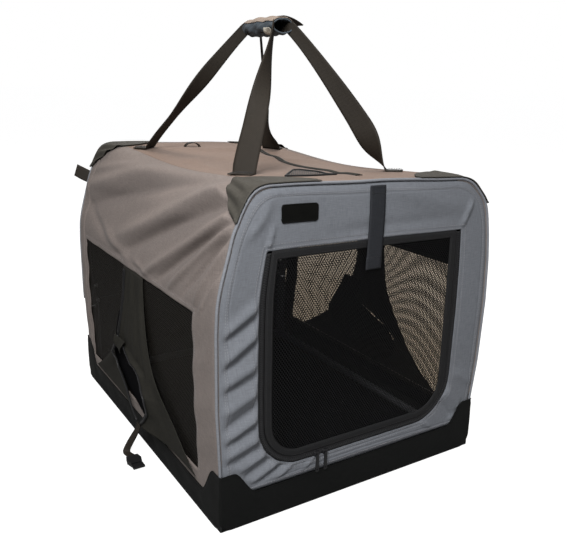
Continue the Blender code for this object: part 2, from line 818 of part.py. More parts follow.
def flap_grid(sign, lift):
    """The hanging cloth flap over a side window, drawn out to a drooping point near the floor."""
    downs = np.linspace(0, 1, 13)
    backs = np.linspace(0, 1, 19)
    down, back = np.meshgrid(downs, backs, indexing="ij")
    y = (flap_top_half + flap_spread * down**flap_curve_power) * (2 * back - 1)
    top = window_top - swing_gap * 2
    droop = np.exp(-(((y - droop_place) / droop_half_width) ** 2))
    foot = flap_foot - (flap_foot - flap_drop) * droop
    z = top + (foot - top) * down
    bulge = flap_bulge * droop * np.sin(np.pi * np.clip(down, 0, 1) * 0.62) ** 2
    ripple = thin_cloth * np.sin(np.pi * down) * (1 + np.sin(y / droop_half_width * np.pi))
    x = half_width - cloth + net_thickness + seat + lift + bulge + ripple + flap_stand_off * down
    return np.stack([sign * x, y, z], -1)


def build_flaps():
    """Side flaps with their tie straps and buckles."""
    for side, sign in sides.items():
        pivot_x = half_width - cloth + net_thickness + seat + flap_thickness
        pivot = (sign * pivot_x, 0.0, window_top - swing_gap * 2)
        outer = flap_grid(sign, flap_thickness)
        inner = flap_grid(sign, 0.0)
        skin(f"side_flap_{side}", outer, inner, black_cloth, pivot)
        tip = outer[-1, np.argmin(outer[-1, :, 2])]
        start = tip + np.array([sign * (seat + 1.3 * web_thickness), 0.0, 0.0])
        rest_z = buckle_thickness / 2 + swing_gap
        out = start[0] + sign * 2 * buckle_thickness
        corner = np.array([out, start[1] - buckle_thickness, rest_z + swing_gap])
        finish_at = corner + np.array([0.0, -buckle_width, -swing_gap])
        rise = np.array([0.0, 0.0, 2 * web_thickness])
        knots = [start + rise, start - rise + (sign * web_thickness, 0, 0), corner, finish_at]
        route = smooth_route(knots, 5)
        turn = np.linspace(0, 1, len(route))[:, None]
        across = (1 - turn) * np.array([0.0, 1.0, 0.0]) + turn * np.array([sign, 0.0, 0.0])
        width = buckle_width / 2
        ribbon(f"flap_tie_{side}", route, across, width, web_thickness, webbing)
        base = finish_at + np.array([0.0, -seat * 2, 0.0])
        build_buckle(side, base)


def build_buckle(side, base):
    """A side-release buckle lying flat: a hollow socket and a plug with two prongs."""
    half = buckle_width / 2
    half_thick = buckle_thickness / 2
    wall = buckle_thickness / 4
    x, y, z = base
    outline_share = [(-0.8, 0.0), (-1.0, 0.5), (-0.75, 1.0), (0.75, 1.0), (1.0, 0.5), (0.8, 0.0)]
    length = buckle_length
    ring = [(x + a * half, y - b * length) for a, b in outline_share]
    count = len(ring)
    points = [(a, b, z - half_thick) for a, b in ring] + [(a, b, z + half_thick) for a, b in ring]
    faces = [list(range(count)), [count + i for i in range(count)][::-1]]
    faces += [(i, count + i, count + (i + 1) % count, (i + 1) % count) for i in range(count)]
    socket = add_mesh(f"buckle_socket_{side}", points, faces, black_plastic)
    inner_x = half * 0.62
    pocket = [
        (x + a * inner_x, y - length * b, z + c * (half_thick - wall))
        for c in (-1, 1)
        for a, b in ((-1, 0.3), (1, 0.3), (1, 1.2), (-1, 1.2))
    ]
    block = [(0, 1, 2, 3), (7, 6, 5, 4), (0, 4, 5, 1), (1, 5, 6, 2), (2, 6, 7, 3), (3, 7, 4, 0)]
    guide = add_mesh(f"buckle_{side}_pocket_guide", pocket, block, black_plastic)
    combine(socket, guide, "DIFFERENCE")
    tongue_x = inner_x - seat
    thick = half_thick - wall - seat
    tip = y - length * 0.3 - swing_gap
    mouth = y - length - seat
    tail = mouth - length / 2
    fork = [
        (-tongue_x, tip), (-tongue_x * 0.45, tip), (-tongue_x * 0.4, mouth), (tongue_x * 0.4, mouth),
        (tongue_x * 0.45, tip), (tongue_x, tip), (tongue_x, mouth), (half * 0.8, mouth),
        (half * 0.8, tail), (-half * 0.8, tail), (-half * 0.8, mouth), (-tongue_x, mouth),
    ]
    place = (x, 0.0, z)
    plug = plate(f"buckle_plug_{side}", fork, [], 2 * thick, place, black_plastic, "floor")
    plug.location = place


def build_patches():
    """Wear patches over the four upper corners, and the roof's zip and vent."""
    for end, end_sign in ends.items():
        for side, sign in sides.items():
            first = flat_half - patch_tail
            last = flat_half + corner_run + patch_drop
            tail = np.linspace(first, flat_half, 6)[:-1]
            runs = np.concatenate([tail, arc_runs, np.linspace(arc_runs[-1], last, 5)[1:]])
            place = (runs - first) / (last - first)
            hump = np.clip(np.sin(np.pi * np.clip((place - 0.18) / 0.72, 0, 1)), 0, 1) ** 0.7
            depth = patch_tail_depth + (patch_depth - patch_tail_depth) * hump
            shares = np.linspace(0, 1, 5)
            grid_run, grid_share = np.meshgrid(runs, shares, indexing="ij")
            y = end_sign * (half_length - depth[:, None] * grid_share)
            outer = cover_point(sign, grid_run, y, seat + thin_cloth)
            inner = cover_point(sign, grid_run, y, seat)
            skin(f"corner_patch_{end}_{side}", outer, inner, black_cloth)


def on_roof(x, y, lift):
    """Points above the roof's outer face."""
    x = np.asarray(x, float)
    return cover_point(np.where(x < 0, -1, 1), abs(x), y, lift)


def build_roof_pieces():
    """Roof zip, vent, webbing loops and handles."""
    ys = np.linspace(zip_front, zip_rear, 15)
    place_share = ((ys - zip_front) / (zip_rear - zip_front)) ** 1.3
    centre = zip_front_x + (zip_rear_x - zip_front_x) * place_share
    edges = np.stack([centre - zip_width / 2, centre + zip_width / 2], 1)
    grid_y = np.repeat(ys[:, None], 2, 1)
    skin("roof_zip", on_roof(edges, grid_y, seat + zip_thickness), on_roof(edges, grid_y, seat), black_plastic)

    shares = np.linspace(0, 1, 5)
    front_share, back_share = np.meshgrid(shares, shares, indexing="ij")
    left = vent_left + (vent_peak - vent_left) * back_share * 0.9
    right = vent_right + (vent_peak - vent_right) * back_share * 0.9
    x = left + (right - left) * front_share
    y = vent_front + (vent_back - vent_front) * back_share
    skin("roof_vent", on_roof(x, y, seat + net_thickness), on_roof(x, y, seat), black_net)

    for side, sign in sides.items():
        strap(f"handle_strap_{side}", handle_route(sign), web_width)
    build_grip()

    x = -roof_loop_off_centre
    y = half_length - roof_loop_from_rear
    angles = np.linspace(0, math.pi, 11)
    base = float(on_roof(x, y, 2 * seat)[2])
    width = roof_loop_width / 2
    route = [(x + width * math.cos(a), y, base + roof_loop_height * math.sin(a)) for a in angles]
    ribbon("roof_loop", route, [(0, 1, 0)] * 11, web_thickness * 3, web_thickness, webbing)

    x = -rear_loop_off_centre
    z = crate_height - rear_loop_below_top
    stem = half_length + seat
    width = rear_loop_height / 2
    route = [(x, stem + loop_reach * math.sin(a), z + width * math.cos(a)) for a in angles]
    ribbon("rear_loop", route, [(1, 0, 0)] * 11, loop_width, web_thickness, webbing)


def handle_route(sign):
    """One long handle strap: sewn down at both ends, rising to the grip in the middle."""
    x = handle_off_centre
    y = handle_from_middle
    near = sign * web_thickness * 2
    edge = grip_length / 2
    lift = seat + web_thickness
    halves = []
    for turn in (-1, 1):
        shares = np.linspace(0, 1, 4)[:, None]
        tail_end = on_roof(sign * (x + handle_tail), turn * (y + handle_tail), lift)
        anchor = on_roof(sign * x, turn * y, lift)
        low = np.array([sign * x * 0.84, turn * y * 0.86, crate_height + handle_lean])
        high = np.array([near, turn * (edge + handle_shoulder), grip_height])
        end = np.array([near, turn * edge, grip_height])
        t = np.linspace(0, 1, 13)[1:, None]
        rise = anchor * (1 - t) ** 3 + 3 * low * t * (1 - t) ** 2 + 3 * high * t**2 * (1 - t) + end * t**3
        halves.append(np.vstack([tail_end + (anchor - tail_end) * shares, rise]))
    inside = [(near, y, grip_height) for y in (-edge / 2, 0.0, edge / 2)]
    return np.vstack([halves[0], inside, halves[1][::-1]])


def strap(name, route, width):
    """Webbing that lies flat on the roof at its ends and stands on edge inside the grip."""
    along = np.gradient(route, axis=0)
    along /= np.linalg.norm(along, axis=1)[:, None]
    height = np.clip((route[:, 2] - crate_height) / (grip_height - crate_height), 0, 1)
    ease = height * height * (3 - 2 * height)
    turn = handle_turn * math.pi * ease
    flat = np.cross((0.0, 0.0, 1.0), along)
    flat /= np.linalg.norm(flat, axis=1)[:, None]
    up = np.cross(along, flat)
    across = np.cos(turn)[:, None] * flat + np.sin(turn)[:, None] * up
    narrow = 1 - handle_narrow * ease
    normal = np.cross(along, across)
    side_step = across * (narrow * width / 2)[:, None]
    lift = normal * web_thickness / 2
    outer = np.stack([route - side_step + lift, route + side_step + lift], 1)
    inner = np.stack([route - side_step - lift, route + side_step - lift], 1)
    skin(name, outer, inner, webbing)


def build_grip():
    """The padded sleeve wrapped round both straps, with its closing tongue."""
    around = 20
    angles = np.linspace(0, 2 * math.pi, around, endpoint=False)
    ys = np.linspace(-grip_length / 2, grip_length / 2, 7)
    swell = 1 + grip_swell * np.cos(np.pi * ys / grip_length)
    layers = []
    for inset in (0.0, grip_wall):
        x = (grip_half_width * swell[:, None] - inset) * np.cos(angles)
        z = grip_height + (grip_half_height * swell[:, None] - inset) * np.sin(angles)
        layers.append(np.stack([x, np.repeat(ys[:, None], around, 1), z], -1))
    stations = len(ys)
    points = np.concatenate([layer.reshape(-1, 3) for layer in layers])
    count = stations * around
    faces = []
    for i in range(around):
        j = (i + 1) % around
        for k in range(stations - 1):
            ring = (k * around + i, k * around + j, (k + 1) * around + j, (k + 1) * around + i)
            faces.append(ring)
            faces.append(tuple(count + a for a in ring[::-1]))
        for k in (0, stations - 1):
            a, b = k * around + i, k * around + j
            faces.append((a, b, count + b, count + a))
    add_mesh("grip_sleeve", points, faces, grip_cloth)
    shares = np.linspace(0, 1, 6)
    reach = grip_half_width * (1 + grip_swell) + seat
    route = [(reach + grip_tongue * s, 0.0, grip_height + grip_half_height * 0.5 * math.sin(s * 1.2)) for s in shares]
    pivot = (reach, 0.0, grip_height)
    ribbon("grip_tongue", route, [(0, 1, 0)] * 6, grip_length * 0.7, web_thickness, black_cloth, pivot)


build_front()
build_rear()
build_cover()
build_flaps()
build_patches()
build_roof_pieces()
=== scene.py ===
import math

import bmesh
import bpy
import numpy as np
from mathutils import Matrix, Vector


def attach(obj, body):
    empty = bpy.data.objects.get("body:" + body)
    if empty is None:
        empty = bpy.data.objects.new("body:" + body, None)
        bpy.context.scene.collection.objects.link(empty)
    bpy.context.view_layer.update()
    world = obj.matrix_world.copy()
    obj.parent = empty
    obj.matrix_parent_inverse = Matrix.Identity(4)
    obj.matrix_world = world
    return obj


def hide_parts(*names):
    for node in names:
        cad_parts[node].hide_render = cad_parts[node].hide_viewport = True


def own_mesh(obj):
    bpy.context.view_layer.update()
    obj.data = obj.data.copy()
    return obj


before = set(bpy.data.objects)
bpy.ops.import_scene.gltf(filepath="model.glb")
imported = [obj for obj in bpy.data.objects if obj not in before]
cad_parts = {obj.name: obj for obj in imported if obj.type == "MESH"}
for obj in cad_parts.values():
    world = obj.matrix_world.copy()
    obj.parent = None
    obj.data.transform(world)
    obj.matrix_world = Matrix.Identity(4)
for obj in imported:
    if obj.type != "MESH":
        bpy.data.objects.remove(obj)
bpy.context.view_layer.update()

# The camera looks down a little at the crate's front left corner, with the front door facing it
# and the left side running away. It is a plain lens with no shift and everything in focus.
camera_place = Vector((-0.6533, -1.1180, 0.6633))
camera_turn, camera_rise, camera_roll = math.radians(-32.2), math.radians(15.63), math.radians(1.10)
backwards = Vector(
    (
        math.sin(camera_turn) * math.cos(camera_rise),
        -math.cos(camera_turn) * math.cos(camera_rise),
        math.sin(camera_rise),
    )
)
level_right = (-backwards).cross(Vector((0, 0, 1))).normalized()
level_up = level_right.cross(-backwards)
right = level_right * math.cos(camera_roll) + level_up * math.sin(camera_roll)
up = level_up * math.cos(camera_roll) - level_right * math.sin(camera_roll)
camera = bpy.data.objects.new("camera", bpy.data.cameras.new("camera"))
camera.data.lens = 43.06
camera.data.sensor_width = 36.0
camera.matrix_world = Matrix(
    [
        [right[0], up[0], backwards[0], camera_place[0]],
        [right[1], up[1], backwards[1], camera_place[1]],
        [right[2], up[2], backwards[2], camera_place[2]],
        [0, 0, 0, 1],
    ]
)
bpy.context.scene.collection.objects.link(camera)
bpy.context.scene.camera = camera
bpy.context.scene.view_settings.view_transform = "Standard"

# The studio is a pale floor that runs off to white, with a white surround that only the camera
# sees (through the nets it sees the room, a beige wall), and four soft lamps: front left, front
# right, above and behind.
floor_reach = 40.0


def fill(tree, node, inputs):
    """Sets a node's inputs, by number or name: a value as it is, and a node or a socket as a link."""
    for key, value in inputs.items():
        socket = node.inputs[key.replace("_", " ") if isinstance(key, str) else key]
        if isinstance(value, bpy.types.Node):
            value = next(output for output in value.outputs if output.enabled)
        if isinstance(value, bpy.types.NodeSocket):
            tree.links.new(value, socket)
        else:
            socket.default_value = value


def put(tree, kind, choice=None, *inputs, **named):
    """One shader node in a tree, with its operation, colour type or node group, and its inputs."""
    node = tree.nodes.new("ShaderNode" + kind)
    if choice:
        setattr(node, {"Mix": "data_type", "Group": "node_tree"}.get(kind, "operation"), choice)
    fill(tree, node, {**dict(enumerate(inputs)), **named})
    return node


def new_finish(name):
    """A new material, with its node tree and its shader."""
    made = bpy.data.materials.new(name)
    made.use_nodes = True
    return made, made.node_tree, made.node_tree.nodes["Principled BSDF"]


def new_piece(name, points, faces):
    """An object made of points and faces."""
    mesh = bpy.data.meshes.new(name)
    mesh.from_pydata(points.reshape(-1, 3), [], faces.tolist())
    piece = bpy.data.objects.new(name, mesh)
    bpy.context.scene.collection.objects.link(piece)
    return piece


floor_corners = np.array([(-1, -1, 0), (1, -1, 0), (1, 1, 0), (-1, 1, 0)]) * floor_reach - (0, 0, 0.0004)
floor = new_piece("floor", floor_corners, np.array([[0, 1, 2, 3]]))
floor_paint, tree, shader = new_finish("studio floor")
seen = put(tree, "LightPath").outputs
glow = put(tree, "Math", "MULTIPLY", seen["Is Camera Ray"], 0.94)
through = put(tree, "Mix", "RGBA", Factor=seen["Transparent Depth"], A=(1, 1, 1, 1), B=(0.35, 0.26, 0.15, 1))
fill(tree, shader, {"Base Color": (0.25, 0.25, 0.25, 1), "Roughness": 0.9, "Emission Strength": glow,
                    "Emission Color": through})
floor.data.materials.append(floor_paint)

world = bpy.data.worlds.new("studio")
bpy.context.scene.world = world
world.use_nodes = True
tree = world.node_tree
seen = put(tree, "LightPath").outputs
through = put(tree, "Mix", "RGBA", Factor=seen["Transparent Depth"], A=(1, 1, 1, 1), B=(0.37, 0.275, 0.165, 1))
pick = put(tree, "Mix", "RGBA", Factor=seen["Is Camera Ray"], A=(0.18, 0.18, 0.185, 1), B=through)
fill(tree, tree.nodes["Background"], {"Color": pick, "Strength": 1.0})

for lamp_name, place, size, power in (
    ("front left lamp", (-1.05, -1.28, 1.70), 0.7, 51),
    ("front right lamp", (1.7, -2.6, 1.6), 1.8, 4),
    ("top lamp", (0.3, 0.6, 2.9), 1.2, 34),
    ("back lamp", (1.3, 2.4, 1.9), 1.8, 30),
):
    lamp = bpy.data.objects.new(lamp_name, bpy.data.lights.new(lamp_name, "AREA"))
    lamp.data.size = size
    lamp.data.energy = power
    lamp.data.color = (1.0, 0.90, 0.80) if lamp_name == "top lamp" else (1.0, 1.0, 1.0)
    lamp.location = place
    lamp.rotation_euler = (Vector((0, 0, 0.3)) - Vector(place)).to_track_quat("-Z", "Y").to_euler()
    bpy.context.scene.collection.objects.link(lamp)


# The boot is a tray of black coated cloth round the foot of the crate. Its wall is turned over at
# the rim and hemmed, it stands higher at the ends than at the sides, and it has raised corners.
def outline_points(half_x, half_y, radius, spacing):
    """A rounded rectangle walked at even spacing: straight runs, then quarter circles about each corner."""
    arc_steps = max(int(radius * math.pi / 2 / spacing), 6)
    found = []
    for sx, sy, first in ((1, -1, -90), (1, 1, 0), (-1, 1, 90), (-1, -1, 180)):
        angle = np.radians(first + np.linspace(0, 90, arc_steps + 1))
        centre = np.array([sx * (half_x - radius), sy * (half_y - radius)])
        arc = centre + radius * np.stack([np.cos(angle), np.sin(angle)], 1)
        if len(found):
            gap = np.linalg.norm(arc[0] - found[-1][-1])
            steps = max(int(gap / spacing), 2)
            share = np.linspace(0, 1, steps + 1)[1:-1, None]
            found.append(found[-1][-1] + (arc[0] - found[-1][-1]) * share)
        found.append(arc)
    gap = np.linalg.norm(found[0][0] - found[-1][-1])
    share = np.linspace(0, 1, max(int(gap / spacing), 2) + 1)[1:-1, None]
    found.append(found[-1][-1] + (found[0][0] - found[-1][-1]) * share)
    return np.concatenate(found)


levels_known = np.linspace(0, 0.8, 401)
even_out = np.hanning(17) / np.hanning(17).sum()
left_set = np.interp(levels_known, (0.10, 0.20, 0.32, 0.36, 0.385, 0.406, 0.44, 0.473, 0.495, 0.51, 0.524),
                     (0.0, -0.005, -0.005, -0.003, 0.002, 0.008, 0.018, 0.024, 0.021, 0.014, 0.0))
right_set = np.interp(levels_known, (0.09, 0.17, 0.287, 0.36, 0.407, 0.45, 0.48, 0.50, 0.515),
                      (0.0, 0.010, 0.015, 0.012, 0.007, 0.0, -0.001, -0.006, 0.0))
left_set, right_set = np.convolve(left_set, even_out, "same"), np.convolve(right_set, even_out, "same")


def ease(share):
    """From 0 to 1 without a corner at either end: three times the share's square less twice its cube."""
    share = np.clip(share, 0, 1)
    return share * share * (3 - 2 * share)


def settled(points):
    """How the frame and cover stand in use: the left shoulder is drawn in and the right side bows out, by
    the distances measured at each height, fading out towards the middle."""
    points = np.array(points, float)
    x, z = points[..., 0].copy(), points[..., 2]
    points[..., 0] += np.interp(z, levels_known, left_set) * ease((-x - 0.10) / 0.16)
    points[..., 0] += np.interp(z, levels_known, right_set) * ease((x - 0.14) / 0.12)
    lean = 0.004 * ease(-x / 0.16) - 0.008 * ease(x / 0.20)
    points[..., 2] += lean * ease((z - 0.36) / 0.14) * ease((0.60 - z) / 0.06)
    return points


def lengths(line):
    """How far along a line each of its points lies."""
    return np.concatenate([[0], np.cumsum(np.linalg.norm(np.diff(line, axis=0), axis=1))])


def unit(vectors):
    """The same directions, each one long."""
    return vectors / np.linalg.norm(vectors, axis=-1, keepdims=True)


def faced_outwards(piece, rings=()):
    """Closes the piece over the rings of points given, then over any end still open, and turns its faces
    outwards."""
    work = bmesh.new()
    work.from_mesh(piece.data)
    work.verts.ensure_lookup_table()
    for ring in rings:
        work.faces.new([work.verts[k] for k in ring])
    bmesh.ops.holes_fill(work, edges=[edge for edge in work.edges if edge.is_boundary])
    bmesh.ops.recalc_face_normals(work, faces=work.faces)
    work.to_mesh(piece.data)
    work.free()


def surface(name, grid, uv, close_u=False, close_v=False, keep=None, turn=False, settle=True):
    """A mesh of quads on a grid of points, rows by columns, with its own UV map in metres. A closed way
    joins the last row or column to the first, and keep says which quads are there."""
    if settle:
        grid = settled(grid)
    rows, columns = grid.shape[:2]
    i, j = np.meshgrid(
        np.arange(rows if close_u else rows - 1), np.arange(columns if close_v else columns - 1), indexing="ij"
    )
    if keep is not None:
        i, j = i[keep], j[keep]
    i, j = i.ravel(), j.ravel()
    i2, j2 = (i + 1) % rows, (j + 1) % columns
    quads = np.stack([i * columns + j, i2 * columns + j, i2 * columns + j2, i * columns + j2], 1)
    if turn:
        quads = quads[:, ::-1]
    used = np.unique(quads)
    place = np.zeros(rows * columns, int)
    place[used] = np.arange(len(used))
    piece = new_piece(name, grid.reshape(-1, 3)[used], place[quads])
    layer = piece.data.uv_layers.new(name="cloth")
    flat = uv.reshape(-1, 2)
    corners = flat[quads.ravel()]
    if close_v or close_u:
        whole = corners.reshape(-1, 4, 2)
        for way, closed in ((0, close_u), (1, close_v)):
            if closed:
                span = np.ptp(flat, axis=0)
                for axis in (0, 1):
                    low = whole[..., axis].min(1, keepdims=True)
                    far = whole[..., axis] - low > span[axis] / 2
                    if far.any() and axis == 1 - way:
                        whole[..., axis] = np.where(far, whole[..., axis] - span[axis], whole[..., axis])
        corners = whole.reshape(-1, 2)
    layer.data.foreach_set("uv", corners.ravel().astype(np.float32))
    piece.data.shade_smooth()
    return piece


boot_half_x, boot_half_y, boot_rim_top = 0.2628, 0.3328, 0.097


def boot_rim_height(x, y):
    """The rim's height: one level along the ends, a lower one along the sides, and both rising in a
    rounded shoulder to the corners."""
    on_end = np.abs(y) > boot_half_y - 0.0043
    middle = np.where(on_end, 0.056, 0.0475)
    far = np.hypot(boot_half_x - np.abs(x), boot_half_y - np.abs(y))
    return middle + (boot_rim_top - middle) * ease(1 - (far - 0.024) / 0.040)


plan = outline_points(boot_half_x, boot_half_y, 0.0045, 0.004)
along = lengths(plan)
ahead = np.roll(plan, -1, 0) - np.roll(plan, 1, 0)
outward = unit(np.stack([ahead[:, 1], -ahead[:, 0]], 1))
rim_height = boot_rim_height(plan[:, 0], plan[:, 1])
profile = [(0.060, 0.0), (0.012, 0.0), (0.0045, 0.0003), (0.0012, 0.0022), (0.0, 0.006)]
wall_shares = np.linspace(0.12, 0.97, 12)
levels, insets = [], []
for inset, height in profile:
    insets.append(np.full(len(plan), inset))
    levels.append(np.full(len(plan), height))
for share in wall_shares:
    soft = 0.0007 * np.sin(along * 41 + share * 5) + 0.0006 * np.sin(along * 97 + 2)
    insets.append(np.maximum(0.0004 - soft * math.sin(math.pi * share), 0.0) + 0.0010 * (share > 0.93))
    levels.append(0.006 + (rim_height - 0.006) * share)
for inset, drop in ((0.0006, 0.0006), (0.0014, 0.0), (0.0022, 0.0006), (0.0024, 0.004)):
    insets.append(np.full(len(plan), inset))
    levels.append(rim_height - drop)
insets += [np.full(len(plan), 0.0024), np.full(len(plan), 0.060)]
levels += [np.full(len(plan), 0.0022), np.full(len(plan), 0.0021)]
insets, levels = np.array(insets), np.array(levels)
from_corner = np.hypot(boot_half_x - np.abs(plan[:, 0]), boot_half_y - np.abs(plan[:, 1]))
outer_rows = (np.arange(len(levels)) < len(profile) + len(wall_shares))[:, None]
insets = insets + 0.0050 * ease(1 - from_corner / 0.022) * ease(1 - levels / 0.024) * outer_rows
boot_grid = np.concatenate([plan - outward * insets[..., None], levels[..., None]], 2)
boot_uv = np.stack([np.broadcast_to(along, levels.shape), levels - insets], 2)
boot = surface("boot_cloth", boot_grid, boot_uv, close_v=True, settle=False)
point_numbers = np.arange(levels.size).reshape(levels.shape).tolist()
faced_outwards(boot, (point_numbers[0][::-1], point_numbers[-1]))


def shader_group(name, inputs, outputs):
    """An empty shader node group with the sockets named."""
    group = bpy.data.node_groups.new(name, "ShaderNodeTree")
    for socket, kind, value in inputs:
        made = group.interface.new_socket(name=socket, in_out="INPUT", socket_type=kind)
        if value is not None:
            made.default_value = value
    for socket, kind in outputs:
        group.interface.new_socket(name=socket, in_out="OUTPUT", socket_type=kind)
    entry, leave = group.nodes.new("NodeGroupInput"), group.nodes.new("NodeGroupOutput")
    return group, entry, leave


# Plain weave: the height is (sin x sin y + 1) / 2 over the threads, and the colour runs from dark to light
# by fleck x (two streaky noises - 1) + cloud x (broad noise - 0.5) + 0.3 x height + 0.35.
weave, entry, leave = shader_group(
    "plain weave",
    [
        ("Threads per metre", "NodeSocketFloat", 1400.0),
        ("Dark", "NodeSocketColor", (0.1, 0.1, 0.1, 1)),
        ("Light", "NodeSocketColor", (0.2, 0.2, 0.2, 1)),
        ("Fleck", "NodeSocketFloat", 0.6),
        ("Cloud", "NodeSocketFloat", 0.25),
    ],
    [("Color", "NodeSocketColor"), ("Height", "NodeSocketFloat")],
)
cloth_map = put(weave, "UVMap")
cloth_map.uv_map = "cloth"
turns = put(weave, "Math", "MULTIPLY", entry.outputs["Threads per metre"], math.pi)
parts = put(weave, "SeparateXYZ", None, put(weave, "VectorMath", "SCALE", cloth_map, Scale=turns)).outputs
waves = [put(weave, "Math", "SINE", parts[axis]) for axis in ("X", "Y")]
height = put(weave, "Math", "MULTIPLY_ADD", put(weave, "Math", "MULTIPLY", *waves), 0.5, 0.5)
slubs = []
for stretch in ((60.0, 900.0, 1.0), (900.0, 60.0, 1.0)):
    stretched = put(weave, "Mapping", Vector=cloth_map, Scale=stretch)
    noise = put(weave, "TexNoise", Vector=stretched, Scale=1.0, Detail=3.0, Roughness=0.65)
    noise.noise_dimensions = "2D"
    slubs.append(noise)
centred = put(weave, "Math", "SUBTRACT", put(weave, "Math", "ADD", *slubs), 1.0)
flecked = put(weave, "Math", "MULTIPLY", centred, entry.outputs["Fleck"])
own_place = put(weave, "TexCoord").outputs["Object"]
cloud = put(weave, "TexNoise", Vector=own_place, Scale=7.0, Detail=4.0, Roughness=0.6)
clouded = put(weave, "Math", "MULTIPLY", put(weave, "Math", "SUBTRACT", cloud, 0.5), entry.outputs["Cloud"])
raised = put(weave, "Math", "MULTIPLY_ADD", height, 0.3, 0.35)
factor = put(weave, "Math", "ADD", put(weave, "Math", "ADD", flecked, clouded), raised)
factor.use_clamp = True
tone = put(weave, "Mix", "RGBA", Factor=factor, A=entry.outputs["Dark"], B=entry.outputs["Light"])
fill(weave, leave, {"Color": tone, "Height": height})


def woven(name, dark, light, threads, fleck, cloud, roughness, depth=0.00012, sheen=0.0, shine=0.2):
    """A woven cloth: thread crossings as relief, flecks along both threads, and slow changes of tone."""
    cloth, tree, shader = new_finish(name)
    pattern = put(tree, "Group", weave, Threads_per_metre=threads, Dark=(*dark, 1), Light=(*light, 1),
                  Fleck=fleck, Cloud=cloud).outputs
    relief = put(tree, "Bump", Strength=0.5, Distance=depth, Height=pattern["Height"])
    fill(tree, shader, {"Base Color": pattern["Color"], "Normal": relief, "Roughness": roughness,
                        "Sheen Weight": sheen, "Specular IOR Level": shine})
    return cloth


boot_dark, boot_light = (0.0028, 0.003, 0.003), (0.0105, 0.011, 0.0105)
boot_cloth = woven("coated boot cloth", boot_dark, boot_light, 900, 0.5, 0.6, 0.6, shine=0.12)
boot.data.materials.append(boot_cloth)
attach(boot, "base")
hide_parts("boot")


# The cover's sides and roof are cut from grey-brown woven polyester and sewn to the hoops' sleeves; the roof's
# browner, lighter tint is painted warm light from above.
# Each side runs from the roof seam over the rounded shoulder to the boot, round a net window.
crate_half_width, crate_top, shoulder, crate_length = 0.260, 0.520, 0.080, 0.66
roof_half = crate_half_width - shoulder
wall_top = crate_top - shoulder
shoulder_run = shoulder * math.pi / 2
end_plane, fade_line, cover_end = 0.3300, 0.3285, 0.3275
window_top, window_foot, window_front, window_back = 0.331, 0.068, -0.2515, 0.2820
sides = (("left", -1), ("right", 1))


def crease_relief(a, b, creases):
    """Soft ridges and hollows: each crease is a line from one place to another on the cloth, as high as
    it says, falling off sideways as a bell curve and fading out at both ends."""
    total = np.zeros(np.broadcast(a, b).shape)
    for a0, b0, a1, b1, rise, width in creases:
        da, db = a1 - a0, b1 - b0
        length = math.hypot(da, db)
        share = ((a - a0) * da + (b - b0) * db) / length**2
        aside = ((a - a0) * db - (b - b0) * da) / length
        fade = np.clip(np.minimum(share + 0.25, 1.25 - share) / 0.5, 0, 1)
        total = total + rise * np.exp(-((aside / width) ** 2)) * fade * fade * (3 - 2 * fade)
    return total


def roof_sag(y):
    """How far the roof hangs between the hoops: a squared cosine along it, 14 mm deep in the middle."""
    return 0.014 * np.cos(np.pi * np.clip(y / crate_length, -0.5, 0.5)) ** 2


def on_cover(side, run, y, lift):
    """A place on the cover: run goes from the roof's middle line out flat, round the shoulder in a quarter
    circle and straight down one side, and lift stands off the cloth. The waist is drawn in a little."""
    run, y, lift = np.broadcast_arrays(np.asarray(run, float), y, lift)
    turn = np.clip((run - roof_half) / shoulder, 0, math.pi / 2)
    down = np.clip(run - roof_half - shoulder_run, 0, None)
    radius = shoulder + lift
    x = np.minimum(run, roof_half) + radius * np.sin(turn)
    z = wall_top + radius * np.cos(turn) - down
    waist = 0.006 * np.sin(turn) * np.cos(np.pi * y / crate_length) ** 2
    waist = waist * np.clip((z - window_top) / (crate_top - window_top), 0, 1) * 2
    return np.stack([side * (x - waist), y, z - roof_sag(y) * np.cos(turn) ** 2], -1)


def cut_size(grid, keep=None):
    """A grid's own width, length and area, measured over the cloth, as (width, length), area."""
    across = np.linalg.norm(np.diff(grid, axis=0), axis=2)
    length = np.linalg.norm(np.diff(grid, axis=1), axis=2)
    one = grid[1:, 1:] - grid[:-1, :-1]
    other = grid[1:, :-1] - grid[:-1, 1:]
    patches = np.linalg.norm(np.cross(one, other), axis=2) / 2
    area = patches[keep].sum() if keep is not None else patches.sum()
    size = (float(across.sum(0).max()), float(length.sum(1).max()))
    return size, min(float(area), size[0] * size[1])


def spaced(*marks_and_steps):
    """Stations that include every mark, with even steps between them: mark, steps, mark, steps, mark."""
    marks, steps = marks_and_steps[::2], marks_and_steps[1::2]
    found = [np.array([marks[0]], float)]
    for start, end, count in zip(marks, marks[1:], steps):
        found.append(np.linspace(start, end, count + 1)[1:])
    return np.concatenate(found)


def lined(piece, outer, lining, thickness, inwards=-1.0):
    """Gives a sheet its thickness, with the lining on the inner face."""
    piece.data.materials.append(outer)
    piece.data.materials.append(lining)
    solid = piece.modifiers.new("thickness", "SOLIDIFY")
    solid.thickness = thickness
    solid.offset = inwards
    solid.material_offset = 1
    solid.material_offset_rim = 0


side_cloth = woven(
    "taupe cover cloth", (0.094, 0.079, 0.072), (0.272, 0.230, 0.210), 1300, 0.6, 0.25, 0.9, sheen=0.05
)
# The lining's near-black colour is partly the dark lining cloth and partly painted shade inside the crate.
shaded_black_lining = woven(
    "black lining with painted inner shade", (0.0015, 0.0015, 0.002), (0.005, 0.005, 0.006), 1300, 0.5, 0.2, 0.9, shine=0.05
)


